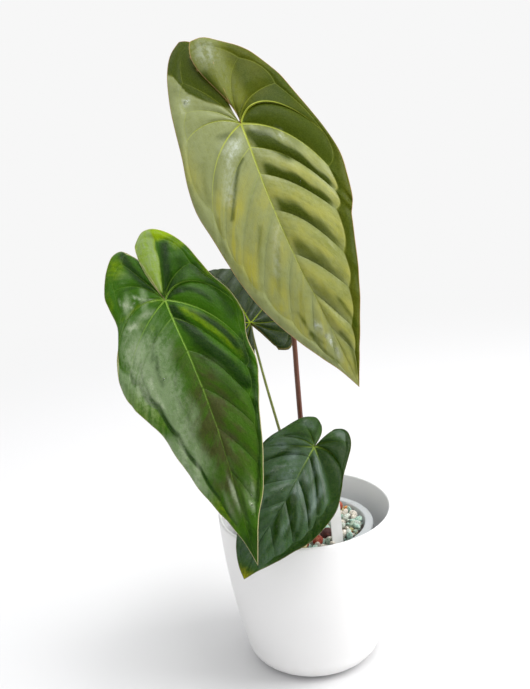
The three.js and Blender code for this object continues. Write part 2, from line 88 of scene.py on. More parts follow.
class Graph:
    """A node tree under construction, for a material or for Geometry Nodes."""

    def __init__(self, tree):
        self.tree = tree

    def node(self, kind, sockets=None, **settings):
        """Adds a node. settings are set first, then sockets, by name or by place."""
        made = self.tree.nodes.new(kind)
        for key, setting in settings.items():
            setattr(made, key, setting)
        shown = [s for s in made.inputs if s.enabled]
        for key, value in (sockets or {}).items():
            socket = shown[key] if isinstance(key, int) else next(s for s in shown if s.name == key)
            for item in value if isinstance(value, list) else [value]:
                if isinstance(item, Value):
                    self.tree.links.new(item.socket, socket)
                else:
                    socket.default_value = item
        return Value(self, made, next((s for s in made.outputs if s.enabled), None))

    def math(self, operation, *values):
        """A Math node with its values in their order."""
        return self.node("ShaderNodeMath", dict(enumerate(values)), operation=operation)

    def mix(self, factor, first, second, blend="MIX"):
        """Mixes two colours, each a colour or a link."""
        first, second = [c if isinstance(c, Value) else (*c, 1) for c in (first, second)]
        sockets = {"Factor": factor, "A": first, "B": second}
        return self.node("ShaderNodeMix", sockets, data_type="RGBA", blend_type=blend)

    def ease(self, value, low, high, start=0.0, end=1.0):
        """Goes smoothly from start to end while value goes from low to high."""
        ends = {"From Min": low, "From Max": high, "To Min": start, "To Max": end}
        sockets = {"Value": value, **ends}
        return self.node("ShaderNodeMapRange", sockets, interpolation_type="SMOOTHSTEP")

    def even(self, value, start, end):
        """Goes from start to end over the middle of a noise's range."""
        return self.ease(value, 0.3, 0.7, start, end)

    def attribute(self, name, output="Fac"):
        """Reads a named attribute of the mesh in a material."""
        return self.node("ShaderNodeAttribute", attribute_name=name)[output]

    def vector(self, **parts):
        """A vector from its X, Y and Z, each 0 unless given."""
        return self.node("ShaderNodeCombineXYZ", parts)

    def place(self, *stretch):
        """Object coordinates in millimetres, stretched along each axis where that is given."""
        at = self.node("ShaderNodeTexCoord")["Object"]
        scale = tuple(k / MM for k in stretch or (1, 1, 1))
        return self.node("ShaderNodeMapping", {"Vector": at, "Scale": scale})

    def noise(self, at, size, detail=2.0, roughness=0.5):
        """Noise from 0 to 1 with blotches about size across, in the units of at."""
        sockets = {"Vector": at, "Scale": 1 / size, "Detail": detail, "Roughness": roughness}
        return self.node("ShaderNodeTexNoise", sockets)["Fac"]


def new_material(name, colour, roughness, **constants):
    """A Principled material with constants on its sockets. Returns it, its graph and its shader."""
    material = bpy.data.materials.new(name)
    material.use_nodes = True
    material.diffuse_color = (*colour, 1)
    shader = material.node_tree.nodes["Principled BSDF"]
    shader.inputs["Base Color"].default_value = (*colour, 1)
    shader.inputs["Roughness"].default_value = roughness
    for name, value in constants.items():
        shader.inputs[name.replace("_", " ")].default_value = value
    return material, Graph(material.node_tree), shader


def feed(shader, **values):
    """Links each value to the shader's socket of that name."""
    for name, value in values.items():
        value.graph.tree.links.new(value.socket, shader.inputs[name.replace("_", " ")])


def bump(height, depth):
    """A normal from a height of 0 to 1 that stands depth millimetres high."""
    return height.graph.node("ShaderNodeBump", {"Height": height, "Distance": depth * MM})


def translucent(graph, colour, share):
    """Lets a share of the light that falls on one side shine through in a colour."""
    nodes, links = graph.tree.nodes, graph.tree.links
    through = graph.node("ShaderNodeBsdfTranslucent", {"Color": (*colour, 1)})
    both = graph.node("ShaderNodeMixShader", {"Fac": share})
    links.new(nodes["Principled BSDF"].outputs["BSDF"], both.node.inputs[1])
    links.new(through.socket, both.node.inputs[2])
    links.new(both.socket, nodes["Material Output"].inputs["Surface"])


def linked(name, data):
    """A new object in the scene."""
    made = bpy.data.objects.new(name, data)
    bpy.context.scene.collection.objects.link(made)
    return made


def new_piece(name, vertices, faces, material=None, smooth=True, edges=()):
    """A mesh piece from points in metres."""
    mesh = bpy.data.meshes.new(name)
    mesh.from_pydata([tuple(v) for v in vertices], edges, faces)
    if material:
        mesh.materials.append(material)
    mesh.polygons.foreach_set("use_smooth", [smooth] * len(mesh.polygons))
    return linked(name, mesh)


def face_outward(piece):
    """Closes doubled points and points all faces outwards."""
    body = bmesh.new()
    body.from_mesh(piece.data)
    bmesh.ops.remove_doubles(body, verts=body.verts, dist=1e-6)
    bmesh.ops.recalc_face_normals(body, faces=body.faces)
    body.to_mesh(piece.data)
    body.free()


def baked(piece):
    """Turns a piece with live modifiers into a plain mesh."""
    depsgraph = bpy.context.evaluated_depsgraph_get()
    mesh = bpy.data.meshes.new_from_object(piece.evaluated_get(depsgraph))
    mesh.name = piece.name
    piece.modifiers.clear()
    piece.data = mesh
    return piece


def hand_over(piece, node, slot):
    """The piece stands for a CAD node: it hangs under the root and the node's part is hidden. slot
    is not used.
    """
    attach(piece, "root")
    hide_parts(node)


def arc(centre, radius, start, end, steps):
    """Points of a round corner in a profile, as (radius, height)."""
    angles = np.radians(np.linspace(start, end, steps + 1))
    return [(centre[0] + radius * math.cos(a), centre[1] + radius * math.sin(a)) for a in angles]


def turned(name, profile, sides, material, centre=(0, 0)):
    """A closed body turned about +Z from a profile that starts and ends on the axis."""
    x, y = centre
    vertices = [(x, y, profile[0][1]), (x, y, profile[-1][1])]
    rings = profile[1:-1]
    for r, z in rings:
        for i in range(sides):
            a = 2 * math.pi * i / sides
            vertices.append((x + r * math.cos(a), y + r * math.sin(a), z))
    faces = []
    last = 2 + (len(rings) - 1) * sides
    for i in range(sides):
        j = (i + 1) % sides
        faces.append((0, 2 + j, 2 + i))
        faces.append((1, last + i, last + j))
        for k in range(len(rings) - 1):
            low, high = 2 + k * sides, 2 + (k + 1) * sides
            faces.append((low + i, low + j, high + j, high + i))
    piece = new_piece(name, np.array(vertices) * MM, faces, material)
    face_outward(piece)
    return piece


COVER = {"rim": 77.5, "height": 142, "shoulder": 62, "heel": 20, "belly": 3, "wall": 3.2,
         "floor": 5}


def cover_wall(z):
    """The outer radius at a height above the heel."""
    t = (z - COVER["heel"]) / (COVER["height"] - COVER["heel"])
    taper = (COVER["rim"] - COVER["shoulder"]) * t
    return COVER["shoulder"] + taper + COVER["belly"] * 4 * t * (1 - t)


def cover_profile():
    """From the middle of the foot, up the outside, over the lip and down to the floor inside."""
    wall, heel, shoulder = COVER["wall"], COVER["heel"], COVER["shoulder"]
    lip = wall / 2
    top = COVER["height"] - lip
    levels = np.linspace(heel, top, 26)[1:-1]
    inner = heel - wall
    return [
        (0, 0),
        (shoulder - heel - 1.2, 0),
        *arc((shoulder - heel, heel), heel, -90, 0, 14),
        *[(cover_wall(z), z) for z in levels],
        *arc((COVER["rim"] - lip, top), lip, 0, 180, 12),
        *[(cover_wall(z) - wall, z) for z in levels[::-1]],
        *arc((shoulder - wall - inner, COVER["floor"] + inner), inner, 0, -90, 10),
        (0, COVER["floor"]),
    ]


def cover_glaze():
    """Satin white glaze with slow clouding, whitened inside as painted light, and dust toward the
    foot.
    """
    material, graph, shader = new_material(
        "cover glaze", (0.86, 0.86, 0.85), 0.36, Coat_Roughness=0.25, IOR=1.5
    )
    at = graph.place()
    cloud = graph.noise(at, 38, 3)
    speck = graph.ease(graph.noise(at, 1.6, 2), 0.74, 0.8)
    part = graph.node("ShaderNodeSeparateXYZ", {"Vector": at})
    rise = (part["Z"] - COVER["heel"]) / (COVER["height"] - COVER["heel"])
    wall = rise * (COVER["rim"] - COVER["shoulder"]) + rise * (1 - rise) * (4 * COVER["belly"])
    apart = (part["X"] * part["X"] + part["Y"] * part["Y"]) ** 0.5
    inside = graph.ease(wall + (COVER["shoulder"] - COVER["wall"] / 2) - apart, -1, 1)
    dust = graph.ease(part["Z"], 0, 26, 1, 0) * graph.ease(graph.noise(at, 9, 4), 0.35, 0.75)
    glaze = graph.mix(cloud, (0.86, 0.855, 0.845), (0.82, 0.815, 0.81))
    # Painted light: the inner wall is made whiter, standing in for the light that falls into the
    # pot.
    glaze = graph.mix(inside, glaze, (0.95, 0.95, 0.96))
    glaze = graph.mix(speck * 0.25, glaze, (0.7, 0.69, 0.66))
    feed(
        shader, Base_Color=graph.mix(dust * 0.25, glaze, (0.66, 0.63, 0.58)),
        Roughness=graph.even(cloud, 0.3, 0.42) + dust * 0.2,
        Coat_Weight=graph.even(cloud, 0.35, 0.2),
        Normal=bump(graph.noise(at, 2.4, 2) * 0.6 + graph.noise(at, 11, 1), 0.02),
    )
    return material


cover_pot = turned("cover_pot_glazed", cover_profile(), 192, cover_glaze())
hand_over(cover_pot, "cover_pot", "cover_glaze")


# Nursery pot
# A thin vacuum-formed pot in cloudy white plastic. Its rim is a flange with a skirt, its wall steps
# in under the rim, and its floor has drain holes. It stands loose on the cover pot's floor.

NURSERY = {"x": 3.5, "y": 1, "base": 36, "neck": 50.6, "rim": 56.5, "top": 126, "skirt": 8,
           "wall": 1.4, "floor": 1.8, "foot": 5.3}
DRAIN = {"radius": 4, "ring": 23, "count": 6, "depth": 8}


def nursery_inner(z):
    """The inner radius of the nursery pot at a height."""
    t = (z - NURSERY["foot"]) / (NURSERY["top"] - NURSERY["foot"])
    return NURSERY["base"] + (NURSERY["neck"] - NURSERY["base"]) * t - NURSERY["wall"]


def nursery_profile():
    """From the middle of the foot, up the outside, round the flange and down the inside."""
    base, neck, rim, top, skirt = (NURSERY[k] for k in ("base", "neck", "rim", "top", "skirt"))
    wall, floor, foot = NURSERY["wall"], NURSERY["floor"], NURSERY["foot"]
    outside = [(nursery_inner(z) + wall, z) for z in np.linspace(foot + 2, top - 16, 12)]
    inside = [(nursery_inner(z), z) for z in np.linspace(top - 9, foot + floor + 2, 14)]
    return [
        (0, foot),
        (base - 1.5, foot),
        *arc((base - 1.3, foot + 1.3), 1.3, -90, 0, 4),
        *outside,
        (neck - 1.1, top - 12),
        (neck - 0.5, top - 11),
        (neck - 0.3, top - wall - 0.9),
        *arc((neck + 0.5, top - wall - 0.8), 0.8, 180, 90, 4),
        (rim - wall - 0.5, top - wall),
        *arc((rim - wall - 0.5, top - wall - 0.5), 0.5, 90, 0, 3),
        (rim - wall, top - skirt + 0.3),
        *arc((rim - wall / 2, top - skirt + 0.7), 0.7, 180, 360, 6),
        (rim, top - 1.6),
        *arc((rim - 1.5, top - 1.5), 1.5, 10, 90, 6),
        (neck + 1, top),
        *arc((neck - wall + 1.2, top - 1.2), 1.2, 90, 180, 5),
        (neck - wall - 0.5, top - 8),
        *inside,
        *arc((base - wall - 1.6, foot + floor + 1.6), 1.6, 0, -90, 4),
        (0, foot + floor),
    ]


def nursery_plastic():
    """Cloudy white plastic, scuffed inside the rim, that lets some light through."""
    material, graph, shader = new_material(
        "nursery plastic", (0.78, 0.8, 0.8), 0.32, IOR=1.49, Coat_Roughness=0.2
    )
    flow = graph.noise(graph.place(1, 1, 0.15), 5, 3)
    scuff = graph.ease(graph.noise(graph.place(0.4, 0.4, 3), 3, 4), 0.6, 0.72)
    feed(
        shader, Base_Color=graph.mix(flow, (0.8, 0.82, 0.83), (0.7, 0.73, 0.75)),
        Roughness=graph.even(flow, 0.26, 0.38) + scuff * 0.2,
        Normal=bump(graph.noise(graph.place(), 3, 2) + flow, 0.03),
    )
    translucent(graph, (0.92, 0.94, 0.94), 0.45)
    return material


def with_drain_holes(pot):
    """Cuts the ring of drain holes through the floor."""
    drill = bmesh.new()
    for i in range(DRAIN["count"]):
        a = 2 * math.pi * i / DRAIN["count"]
        x = NURSERY["x"] + DRAIN["ring"] * math.cos(a)
        y = NURSERY["y"] + DRAIN["ring"] * math.sin(a)
        bmesh.ops.create_cone(
            drill, cap_ends=True, segments=24, radius1=DRAIN["radius"] * MM,
            radius2=DRAIN["radius"] * MM, depth=DRAIN["depth"] * MM,
            matrix=Matrix.Translation(Vector((x, y, NURSERY["foot"])) * MM),
        )
    cutter = linked("drill", bpy.data.meshes.new("drill"))
    drill.to_mesh(cutter.data)
    drill.free()
    cut = pot.modifiers.new("drain", "BOOLEAN")
    cut.operation, cut.solver, cut.object = "DIFFERENCE", "EXACT", cutter
    baked(pot)
    bpy.data.objects.remove(cutter)


nursery_pot = turned(
    "nursery_pot_moulded", nursery_profile(), 160, nursery_plastic(), (NURSERY["x"], NURSERY["y"])
)
with_drain_holes(nursery_pot)
hand_over(nursery_pot, "nursery_pot", "nursery_plastic")


# Stem
# A short upright rootstock, green-brown and a little corky, ringed by the scars of shed leaves. The
# stalks leave it close together at the top.

STEM = {"x": 0.5, "y": -0.5, "foot": 92, "top": 140, "radius": 7, "ring": 0.7}


def stem_profile():
    """A column with raised scar rings and a domed top."""
    crown = STEM["top"] - STEM["radius"]
    scars = np.linspace(crown - 14, crown - 2, 3)
    column = []
    for z in np.linspace(STEM["foot"] + 4, crown, 60):
        swell = sum(math.exp(-(((z - scar) / 0.8) ** 2)) for scar in scars)
        column.append((STEM["radius"] + STEM["ring"] * swell, z))
    return [
        (0, STEM["foot"]),
        (STEM["radius"] - 2, STEM["foot"]),
        (STEM["radius"] - 0.6, STEM["foot"] + 2),
        *column,
        *arc((0, crown), STEM["radius"], 6, 84, 8),
        (0, STEM["top"]),
    ]


def stem_bark():
    """Green-brown corky skin with darker scar lines and pale flecks."""
    material, graph, shader = new_material("stem bark", (0.2, 0.19, 0.08), 0.62)
    grain = graph.noise(graph.place(1, 1, 0.25), 1.3, 5)
    blotch = graph.noise(graph.place(), 5, 3)
    bark = graph.mix(blotch, (0.13, 0.16, 0.045), (0.24, 0.17, 0.08))
    bark = graph.mix(graph.ease(grain, 0.35, 0.65), (0.09, 0.065, 0.03), bark)
    bark = graph.mix(graph.ease(grain, 0.66, 0.76) * 0.6, bark, (0.42, 0.36, 0.24))
    feed(shader, Base_Color=bark, Roughness=graph.even(grain, 0.7, 0.5), Normal=bump(grain, 0.4))
    return material


stem = turned("stem_bark_body", stem_profile(), 48, stem_bark(), (STEM["x"], STEM["y"]))
hand_over(stem, "stem", "stem_bark")


# Plant label
# A plain white plastic stake, pushed into the grit near the rim and leaning a little. Its edges
# are eased and its face has fine scratches.

LABEL = {"x": 27, "y": -36, "width": 10.4, "thick": 1.2, "foot": 94, "top": 171, "point": 10,
         "corner": 1.5, "cut": 0.45, "lean": 2, "turn": 26, "eased": 0.25}


def label_plastic():
    """White sheet plastic, a little yellowed, with fine scratches along it."""
    material, graph, shader = new_material("label plastic", (0.88, 0.88, 0.86), 0.42)
    scratch = graph.ease(graph.noise(graph.place(1, 1, 0.08), 0.5, 3), 0.62, 0.7)
    cloud = graph.noise(graph.place(), 12, 2)
    feed(
        shader, Base_Color=graph.mix(cloud, (0.9, 0.9, 0.88), (0.84, 0.84, 0.8)),
        Roughness=graph.even(cloud, 0.36, 0.46) + scratch * 0.2, Normal=bump(scratch, 0.02),
    )
    return material


def label_stake():
    """The stake's outline, given its thickness and eased edges, then leaned and turned."""
    half, corner, cut = LABEL["width"] / 2, LABEL["corner"], LABEL["cut"]
    foot, tall = LABEL["foot"], LABEL["top"] - LABEL["foot"]
    outline = [
        (-half, LABEL["point"]), (0, 0), (half, LABEL["point"]), (half, tall - corner),
        (half - cut, tall - cut), (half - corner, tall), (corner - half, tall),
        (cut - half, tall - cut), (-half, tall - corner),
    ]
    count = len(outline)
    depth = LABEL["thick"] / 2
    vertices = [(x, y, z) for y in (-depth, depth) for x, z in outline]
    faces = [tuple(range(count)), tuple(range(2 * count - 1, count - 1, -1))]
    faces += [(i, count + i, count + (i + 1) % count, (i + 1) % count) for i in range(count)]
    stake = new_piece("plant_label_stake", np.array(vertices) * MM, faces, label_plastic(), False)
    face_outward(stake)
    edge = stake.modifiers.new("eased", "BEVEL")
    edge.width, edge.segments = LABEL["eased"] * MM, 3
    baked(stake)
    stake.data.transform(
        Matrix.Translation(Vector((LABEL["x"], LABEL["y"], foot)) * MM)
        @ Matrix.Rotation(math.radians(LABEL["turn"]), 4, "Z")
        @ Matrix.Rotation(math.radians(-LABEL["lean"]), 4, "Y")
    )
    return stake


hand_over(label_stake(), "plant_label", "label_plastic")


# Grit
# Mineral potting grit, filled to a little below the nursery pot's rim. Fine and coarse chips of
# zeolite, pumice and lava, a few fired clay balls and lava lumps lie loose over a dark bed of
# painted shade for the gaps between them.

GRIT = {"level": 118, "rise": 1, "heap": 3.5, "gap": 0.3, "stem_room": 8.6, "label_room": 1.1,
        "patch": 2.5}


class Field(Graph):
    """A Geometry Nodes tree. Its named inputs, besides Geometry and Material, come by kind."""

    def __init__(self, name, **inputs):
        super().__init__(bpy.data.node_groups.new(name, "GeometryNodeTree"))
        sockets = self.tree.interface
        sockets.new_socket("Geometry", in_out="OUTPUT", socket_type="NodeSocketGeometry")
        for kind, labels in {"Geometry": "Geometry", **inputs, "Material": "Material"}.items():
            for label in labels.split(", "):
                sockets.new_socket(label, in_out="INPUT", socket_type=f"NodeSocket{kind}")
        self.given = self.node("NodeGroupInput")

    def named(self, name, kind="FLOAT"):
        """Reads a named attribute."""
        return self.node("GeometryNodeInputNamedAttribute", {"Name": name}, data_type=kind)

    def store(self, geometry, name, value, kind="FLOAT", domain="POINT"):
        """Writes a named attribute."""
        sockets = {"Geometry": geometry, "Name": name, "Value": value}
        return self.node("GeometryNodeStoreNamedAttribute", sockets, data_type=kind, domain=domain)

    def move(self, geometry, offset):
        """Moves each point by its offset."""
        return self.node("GeometryNodeSetPosition", {"Geometry": geometry, "Offset": offset})

    def chance(self, seed, low=0.0, high=1.0, kind="FLOAT"):
        """A random value for each point or instance."""
        sockets = {"Min": low, "Max": high, "Seed": seed}
        return self.node("FunctionNodeRandomValue", sockets, data_type=kind)

    def end(self, geometry, smooth=True):
        """Sets the shading, realizes the instances, sets the material and closes the tree."""
        sockets = {"Geometry": geometry, "Shade Smooth": smooth}
        shaded = self.node("GeometryNodeSetShadeSmooth", sockets)
        whole = self.node("GeometryNodeRealizeInstances", {"Geometry": shaded})
        sockets = {"Geometry": whole, "Material": self.given["Material"]}
        self.node("NodeGroupOutput", {"Geometry": self.node("GeometryNodeSetMaterial", sockets)})
        return self.tree


def grown(piece, tree, values):
    """Runs a Geometry Nodes tree on a piece and keeps the result as its plain mesh."""
    modifier = piece.modifiers.new(tree.name, "NODES")
    modifier.node_group = tree
    sockets = {s.name: s.identifier for s in tree.interface.items_tree if s.in_out == "INPUT"}
    for name, value in values.items():
        modifier[sockets[name]] = value
    return baked(piece)


def grain_tree():
    """Scatters grains on a surface. Each is a dented ball with its own turn, size and tint."""
    field = Field(
        "loose grains", Float="Spacing, Smallest, Largest, Flatness, Dents, Rise",
        Int="Faces, Seed", Bool="Smooth",
    )
    given = field.given
    points = field.node("GeometryNodeDistributePointsOnFaces", {
        "Mesh": given["Geometry"], "Distance Min": given["Spacing"], "Density Max": 4e5,
        "Density Factor": field.named("room"), "Seed": given["Seed"],
    }, distribute_method="POISSON")["Points"]
    ball = field.node("GeometryNodeMeshIcoSphere", {"Radius": 1.0, "Subdivisions": given["Faces"]})
    size = given["Smallest"] + (given["Largest"] - given["Smallest"]) * field.chance(3) ** 1.6
    turn = field.chance(5, (0, 0, 0), (6.28, 6.28, 6.28), "FLOAT_VECTOR")
    flat = given["Flatness"]
    placed = field.node("GeometryNodeInstanceOnPoints", {
        "Points": field.move(points, field.vector(Z=size * given["Rise"])),
        "Instance": field.store(
            ball, "ball", field.node("GeometryNodeInputPosition"), "FLOAT_VECTOR"
        ),
        "Scale": field.vector(X=size, Y=size * (1 - flat * 0.6), Z=size * (1 - flat)),
        "Rotation": field.node("FunctionNodeEulerToRotation", {"Euler": turn}),
    })
    tinted = field.store(placed, "tint", field.chance(11), domain="INSTANCE")
    loose = field.node("GeometryNodeRealizeInstances", {"Geometry": tinted})
    own = field.named("tint")
    apart = field.node("ShaderNodeVectorMath", {
        0: field.named("ball", "FLOAT_VECTOR"), 1: field.vector(X=own * 40, Y=own * 90),
    }, operation="ADD")
    inward = field.node("ShaderNodeVectorMath", {
        "Vector": field.node("GeometryNodeInputNormal"),
        "Scale": (field.noise(apart, 1.1, 2) - 0.5) * given["Dents"],
    }, operation="SCALE")
    return field.end(field.move(loose, inward), given["Smooth"])


def mark(piece, name, values, kind="FLOAT"):
    """Gives a mesh a named value at each point."""
    layer = piece.data.attributes.new(name, kind, "POINT")
    field = "value" if kind == "FLOAT" else "vector"
    layer.data.foreach_set(field, np.ascontiguousarray(values, dtype=np.float32).ravel())


def bed_top(name, inset, patches):
    """A dished disc at the grit's level, marked with where grains have room beside stem and label.
    Where patches are given, the grains lie only near these places."""
    reach = nursery_inner(GRIT["level"]) - inset
    steps = np.arange(-reach, reach + 1, 1.0)
    number, vertices = {}, []
    for i, x in enumerate(steps):
        for j, y in enumerate(steps):
            here, off = (x + NURSERY["x"], y + NURSERY["y"]), math.hypot(x, y) / reach
            chosen = not patches or any(math.dist(here, p) <= GRIT["patch"] for p in patches)
            if off <= 1 and chosen:
                number[i, j] = len(vertices)
                vertices.append((*here, GRIT["level"] + GRIT["heap"] * off**2))
    corners = [[(i, j), (i + 1, j), (i + 1, j + 1), (i, j + 1)] for i, j in number]
    faces = [[number[c] for c in four] for four in corners if all(c in number for c in four)]
    disc = new_piece(name, np.array(vertices) * MM, faces, smooth=False)
    x, y, _ = np.array(vertices).T
    turn = math.radians(LABEL["turn"])
    dx, dy = x - LABEL["x"], y - LABEL["y"]
    beside = np.abs(dx * math.cos(turn) + dy * math.sin(turn)) - LABEL["width"] / 2
    before = np.abs(dy * math.cos(turn) - dx * math.sin(turn)) - LABEL["thick"] / 2
    clear = np.hypot(x - STEM["x"], y - STEM["y"]) > GRIT["stem_room"]
    clear &= np.maximum(beside, before) > GRIT["label_room"]
    mark(disc, "room", clear)
    return disc


def paint(red, green, blue):
    """A screen colour of 0 to 255, as the linear colour that materials take."""
    return tuple(
        c / 12.92 if c <= 0.04045 else ((c + 0.055) / 1.055) ** 2.4
        for c in (red / 255, green / 255, blue / 255)
    )


def mineral():
    """One material for the mixed grains: each grain's tint picks its kind of rock, and its low
    spots are darkened as painted shade.
    """
    material, graph, shader = new_material("mixed mineral grit", paint(200, 200, 190), 0.85)
    kinds = [
        (170, 208, 194, 0.3), (238, 230, 218, 0.22), (206, 216, 206, 0.14), (214, 204, 146, 0.08),
        (88, 40, 34, 0.05), (232, 150, 66, 0.04), (160, 184, 164, 0.08), (168, 84, 62, 0.03),
        (246, 242, 232, 0.06),
    ]
    rock = graph.node("ShaderNodeValToRGB", {"Fac": graph.attribute("tint")})
    ramp = rock.node.color_ramp
    ramp.interpolation = "CONSTANT"
    while len(ramp.elements) < len(kinds):
        ramp.elements.new(0.5)
    start = 0.0
    for element, (*colour, share) in zip(ramp.elements, kinds):
        element.position, element.color = start, (*paint(*colour), 1)
        start += share
    at = graph.place()
    grain = graph.noise(at, 0.9, 4)
    vein = graph.ease(abs(graph.noise(at, 2.6, 3) - 0.5), 0.02, 0.06, 1, 0)
    # Painted shade: the low spots of the grain's bump are darkened.
    hollow_shade = graph.ease(grain, 0.35, 0.6, 0.5, 0)
    rock = graph.mix(hollow_shade, rock["Color"], (0.2, 0.18, 0.15), "MULTIPLY")
    rock = graph.mix(vein * 0.25, rock, paint(236, 226, 200))
    feed(shader, Base_Color=rock, Roughness=graph.even(grain, 0.95, 0.7), Normal=bump(grain, 0.5))
    return material


def fired_clay(name, low, high):
    """Rough fired clay or lava with dark pores and pale dust."""
    material, graph, shader = new_material(name, low, 0.8)
    at = graph.place()
    pore = graph.ease(graph.noise(at, 0.8, 3), 0.3, 0.42, 1, 0)
    bloom = graph.ease(graph.noise(at, 3.5, 4), 0.5, 0.75)
    feed(
        shader, Base_Color=graph.mix(pore * 0.8, graph.mix(bloom, low, high), paint(70, 28, 20)),
        Roughness=graph.ease(bloom, 0, 1, 0.7, 0.9),
        Normal=bump(1 - pore + graph.noise(at, 2, 3) * 0.5, 0.35),
    )
    return material


def gap_shade_bed():
    """A dark bed with a grainy tone: painted shade for the gaps between the grains."""
    material, graph, shader = new_material("grit bed", (0.1, 0.08, 0.06), 0.9)
    grain = graph.noise(graph.place(), 1.2, 4)
    # Painted shade: these dark tones stand in for the shade in the gaps between the loose grains.
    dust = graph.mix(grain, (0.03, 0.024, 0.02), (0.2, 0.17, 0.14))
    feed(shader, Base_Color=dust, Roughness=graph.even(grain, 0.95, 0.75), Normal=bump(grain, 0.6))
    return material


BED_FOOT = NURSERY["foot"] + NURSERY["floor"] + GRIT["gap"]
grit_bed = turned("grit_bed", [
    (0, BED_FOOT),
    (nursery_inner(BED_FOOT) - GRIT["gap"], BED_FOOT),
    *[(nursery_inner(z) - GRIT["gap"], z) for z in np.linspace(BED_FOOT + 4, GRIT["level"], 12)],
    (20, GRIT["level"] + GRIT["rise"] / 2),
    (0, GRIT["level"] + GRIT["rise"]),
], 72, gap_shade_bed(), (NURSERY["x"], NURSERY["y"]))
hand_over(grit_bed, "grit", "grit_stone")

CLAY = [(9, -33), (-3, -37), (-16, -35), (31, 28), (-28, -22), (-12, 34)]
LAVA = [(19, -24), (-36, 6)]
GRAINS = grain_tree()
CHIPS = mineral()
FIRED = fired_clay("fired clay", paint(160, 66, 44), paint(206, 128, 98))
DARK = fired_clay("dark lava", paint(70, 30, 26), paint(120, 62, 50))
for name, inset, patches, material, *sizes, flatness, rise, faces, seed in [
    ("grit_fine", 1.6, [], CHIPS, 2.5, 1.1, 2.2, 1.3, 0.4, 0.5, 1, 21),
    ("grit_coarse", 3.4, [], CHIPS, 4.7, 2.6, 4.8, 3.4, 0.45, 0.9, 2, 8),
    ("clay_balls", 5, CLAY, FIRED, 9.5, 4.8, 5.4, 0.5, 0.06, 1.15, 3, 2),
    ("lava_lumps", 5, LAVA, DARK, 9.5, 6.0, 6.6, 2.4, 0.2, 1.0, 4, 2),
]:
    spacing, smallest, largest, dents = [size * MM for size in sizes]
    grains = grown(bed_top(name, inset, patches), GRAINS, {
        "Spacing": spacing, "Smallest": smallest, "Largest": largest, "Dents": dents,
        "Flatness": flatness, "Rise": rise, "Faces": faces, "Seed": seed,
        "Smooth": bool(patches), "Material": material,
    })
    hand_over(grains, "grit", "grit_stone")


# Leaf blades
# Hanging, heart-based blades, thin and leathery, puffed up between their sunken veins. A collecting
# vein runs along inside the margin. Each blade is laid out flat from its margin and veins, and the
# tree below raises its arch, quilting and ribs and gives it a second face.

SCALLOP = 0.055
THICK, RIB, KNOT, CORD, CRUMPLE = 1.0, 0.7, 1.1, 0.35, 7.5
SHAPE = "Half Width, Arch, Droop, Fold, Quilt, Wave, Pucker"
# Colour marks. shade is painted shade, with deep as its tone; the sheen mark is painted sheen; pale
# is painted highlights and wet glints; warm also carries painted light through the left blade's top
# lobe and the painted shadow on the top blade's left lobe; gold carries painted yellow glints on
# the top blade.
COLOURS = ("shade", "warm", "silver", "gold", "pale")
TONES = ("leaf", "leaf2", "deep", "warm", "silver", "gold", "pale", "vein", "margin", "under",
         "under2", "through")
# The relief fades in over the first veins from the tip and wherever a half blade is narrow.
FADE = {"veins": 1.5, "chord": 25}
# Half widths of the veins, and how brightly they show from the basal vein on into the lobe.
VEIN = {"basal": 0.75, "side": 0.5, "thins": 0.65, "rail": 0.35, "midrib": 0.8, "tip": 0.55}
BRIGHT = (1, 1, 0.4, 0.25, 0.1)

# Stations are where the veins leave the midrib, from the tip to the joint. Each half has points
# along its margin from the tip round the lobe. A vein's row holds the point of the margin that it
# reaches, the angles at which it leaves and arrives, and its lift. A row of collecting holds a
# vein's number and how far out along it the collecting vein crosses.
TOP = {
    "name": "top", "slot": "leaf_sage", "joint": (-26.4, -30, 480.5), "tip": (48, -90, 283),
    "face": (0.05, -1, 0.3), "detail": (16, 34, 12), "arch": 12, "droop": 8, "fold": 2,
    "half width": 70, "quilt": 3.4, "wave": 1, "pucker": 1.1, "glow": (0.55, 0.3, 0.28),
    "shine": 0.36, "gloss": 0.02, "leather": 0.22, "midrib": [0, -4, -5, -2, 0],
    "stations": [220, 170, 140, 108, 72, 42, 20, 0, 0, 0, 0, 0],
    "left": {
        "puff": 0.5, "collecting": [(0, 0.8), (6, 0.8), (7, 0.74), (11, 0.84)],
        "margin": [
            (0, 220), (-8, 203), (-18, 187), (-28, 170), (-37, 152), (-45, 132), (-50, 113),
            (-53, 95), (-56, 72), (-59, 49), (-57, 27), (-52, 5), (-48, -18), (-43, -42),
            (-35, -66), (-26, -82), (-15, -90),
        ],
        "veins": [
            (0, 25, 18, 0), (1.2, 25, 18, 0), (2.2, 30, 22, 0), (3.3, 42, 22, 0), (4.6, 42, 18, 0),
            (5.8, 48, 18, 0), (7, 65, 18, 0), (7.7, 74, 15, 0), (11, 138, 25, 0),
            (12.4, 152, 80, -1), (13.8, 165, 130, -3), (16, 168, 115, -9),
        ],
    },
    "right": {
        "puff": 0.78, "collecting": [(0, 0.8), (6, 0.8), (7, 0.72), (8, 0.84)],
        "margin": [
            (0, 220), (9, 200), (20, 176), (30, 153), (39, 128), (48, 99), (54, 87), (58.5, 68),
            (60.5, 50), (58, 28), (54, 10), (49, -8), (44, -27), (36, -44), (26, -59), (14, -71),
            (3, -80), (-8, -81),
        ],
        "veins": [
            (0, 25, 15, 0), (1, 25, 15, 0), (1.7, 30, 25, 0), (2.8, 50, 28, 0), (3.7, 60, 25, 0),
            (4.8, 60, 30, 0), (5.4, 65, 22, 0), (6, 70, 10, 0), (8, 145, 10, 0), (11.5, 162, 70, 1),
            (13.6, 178, 95, 5), (17, 172, 143, 4),
        ],
    },
    "tones": [
        (98, 106, 16), (112, 116, 32), (50, 66, 0), (74, 78, 0), (146, 154, 104), (170, 166, 72),
        (206, 214, 196), (196, 206, 84), (206, 160, 110), (120, 138, 70), (134, 134, 76),
        (170, 170, 0),
    ],
}
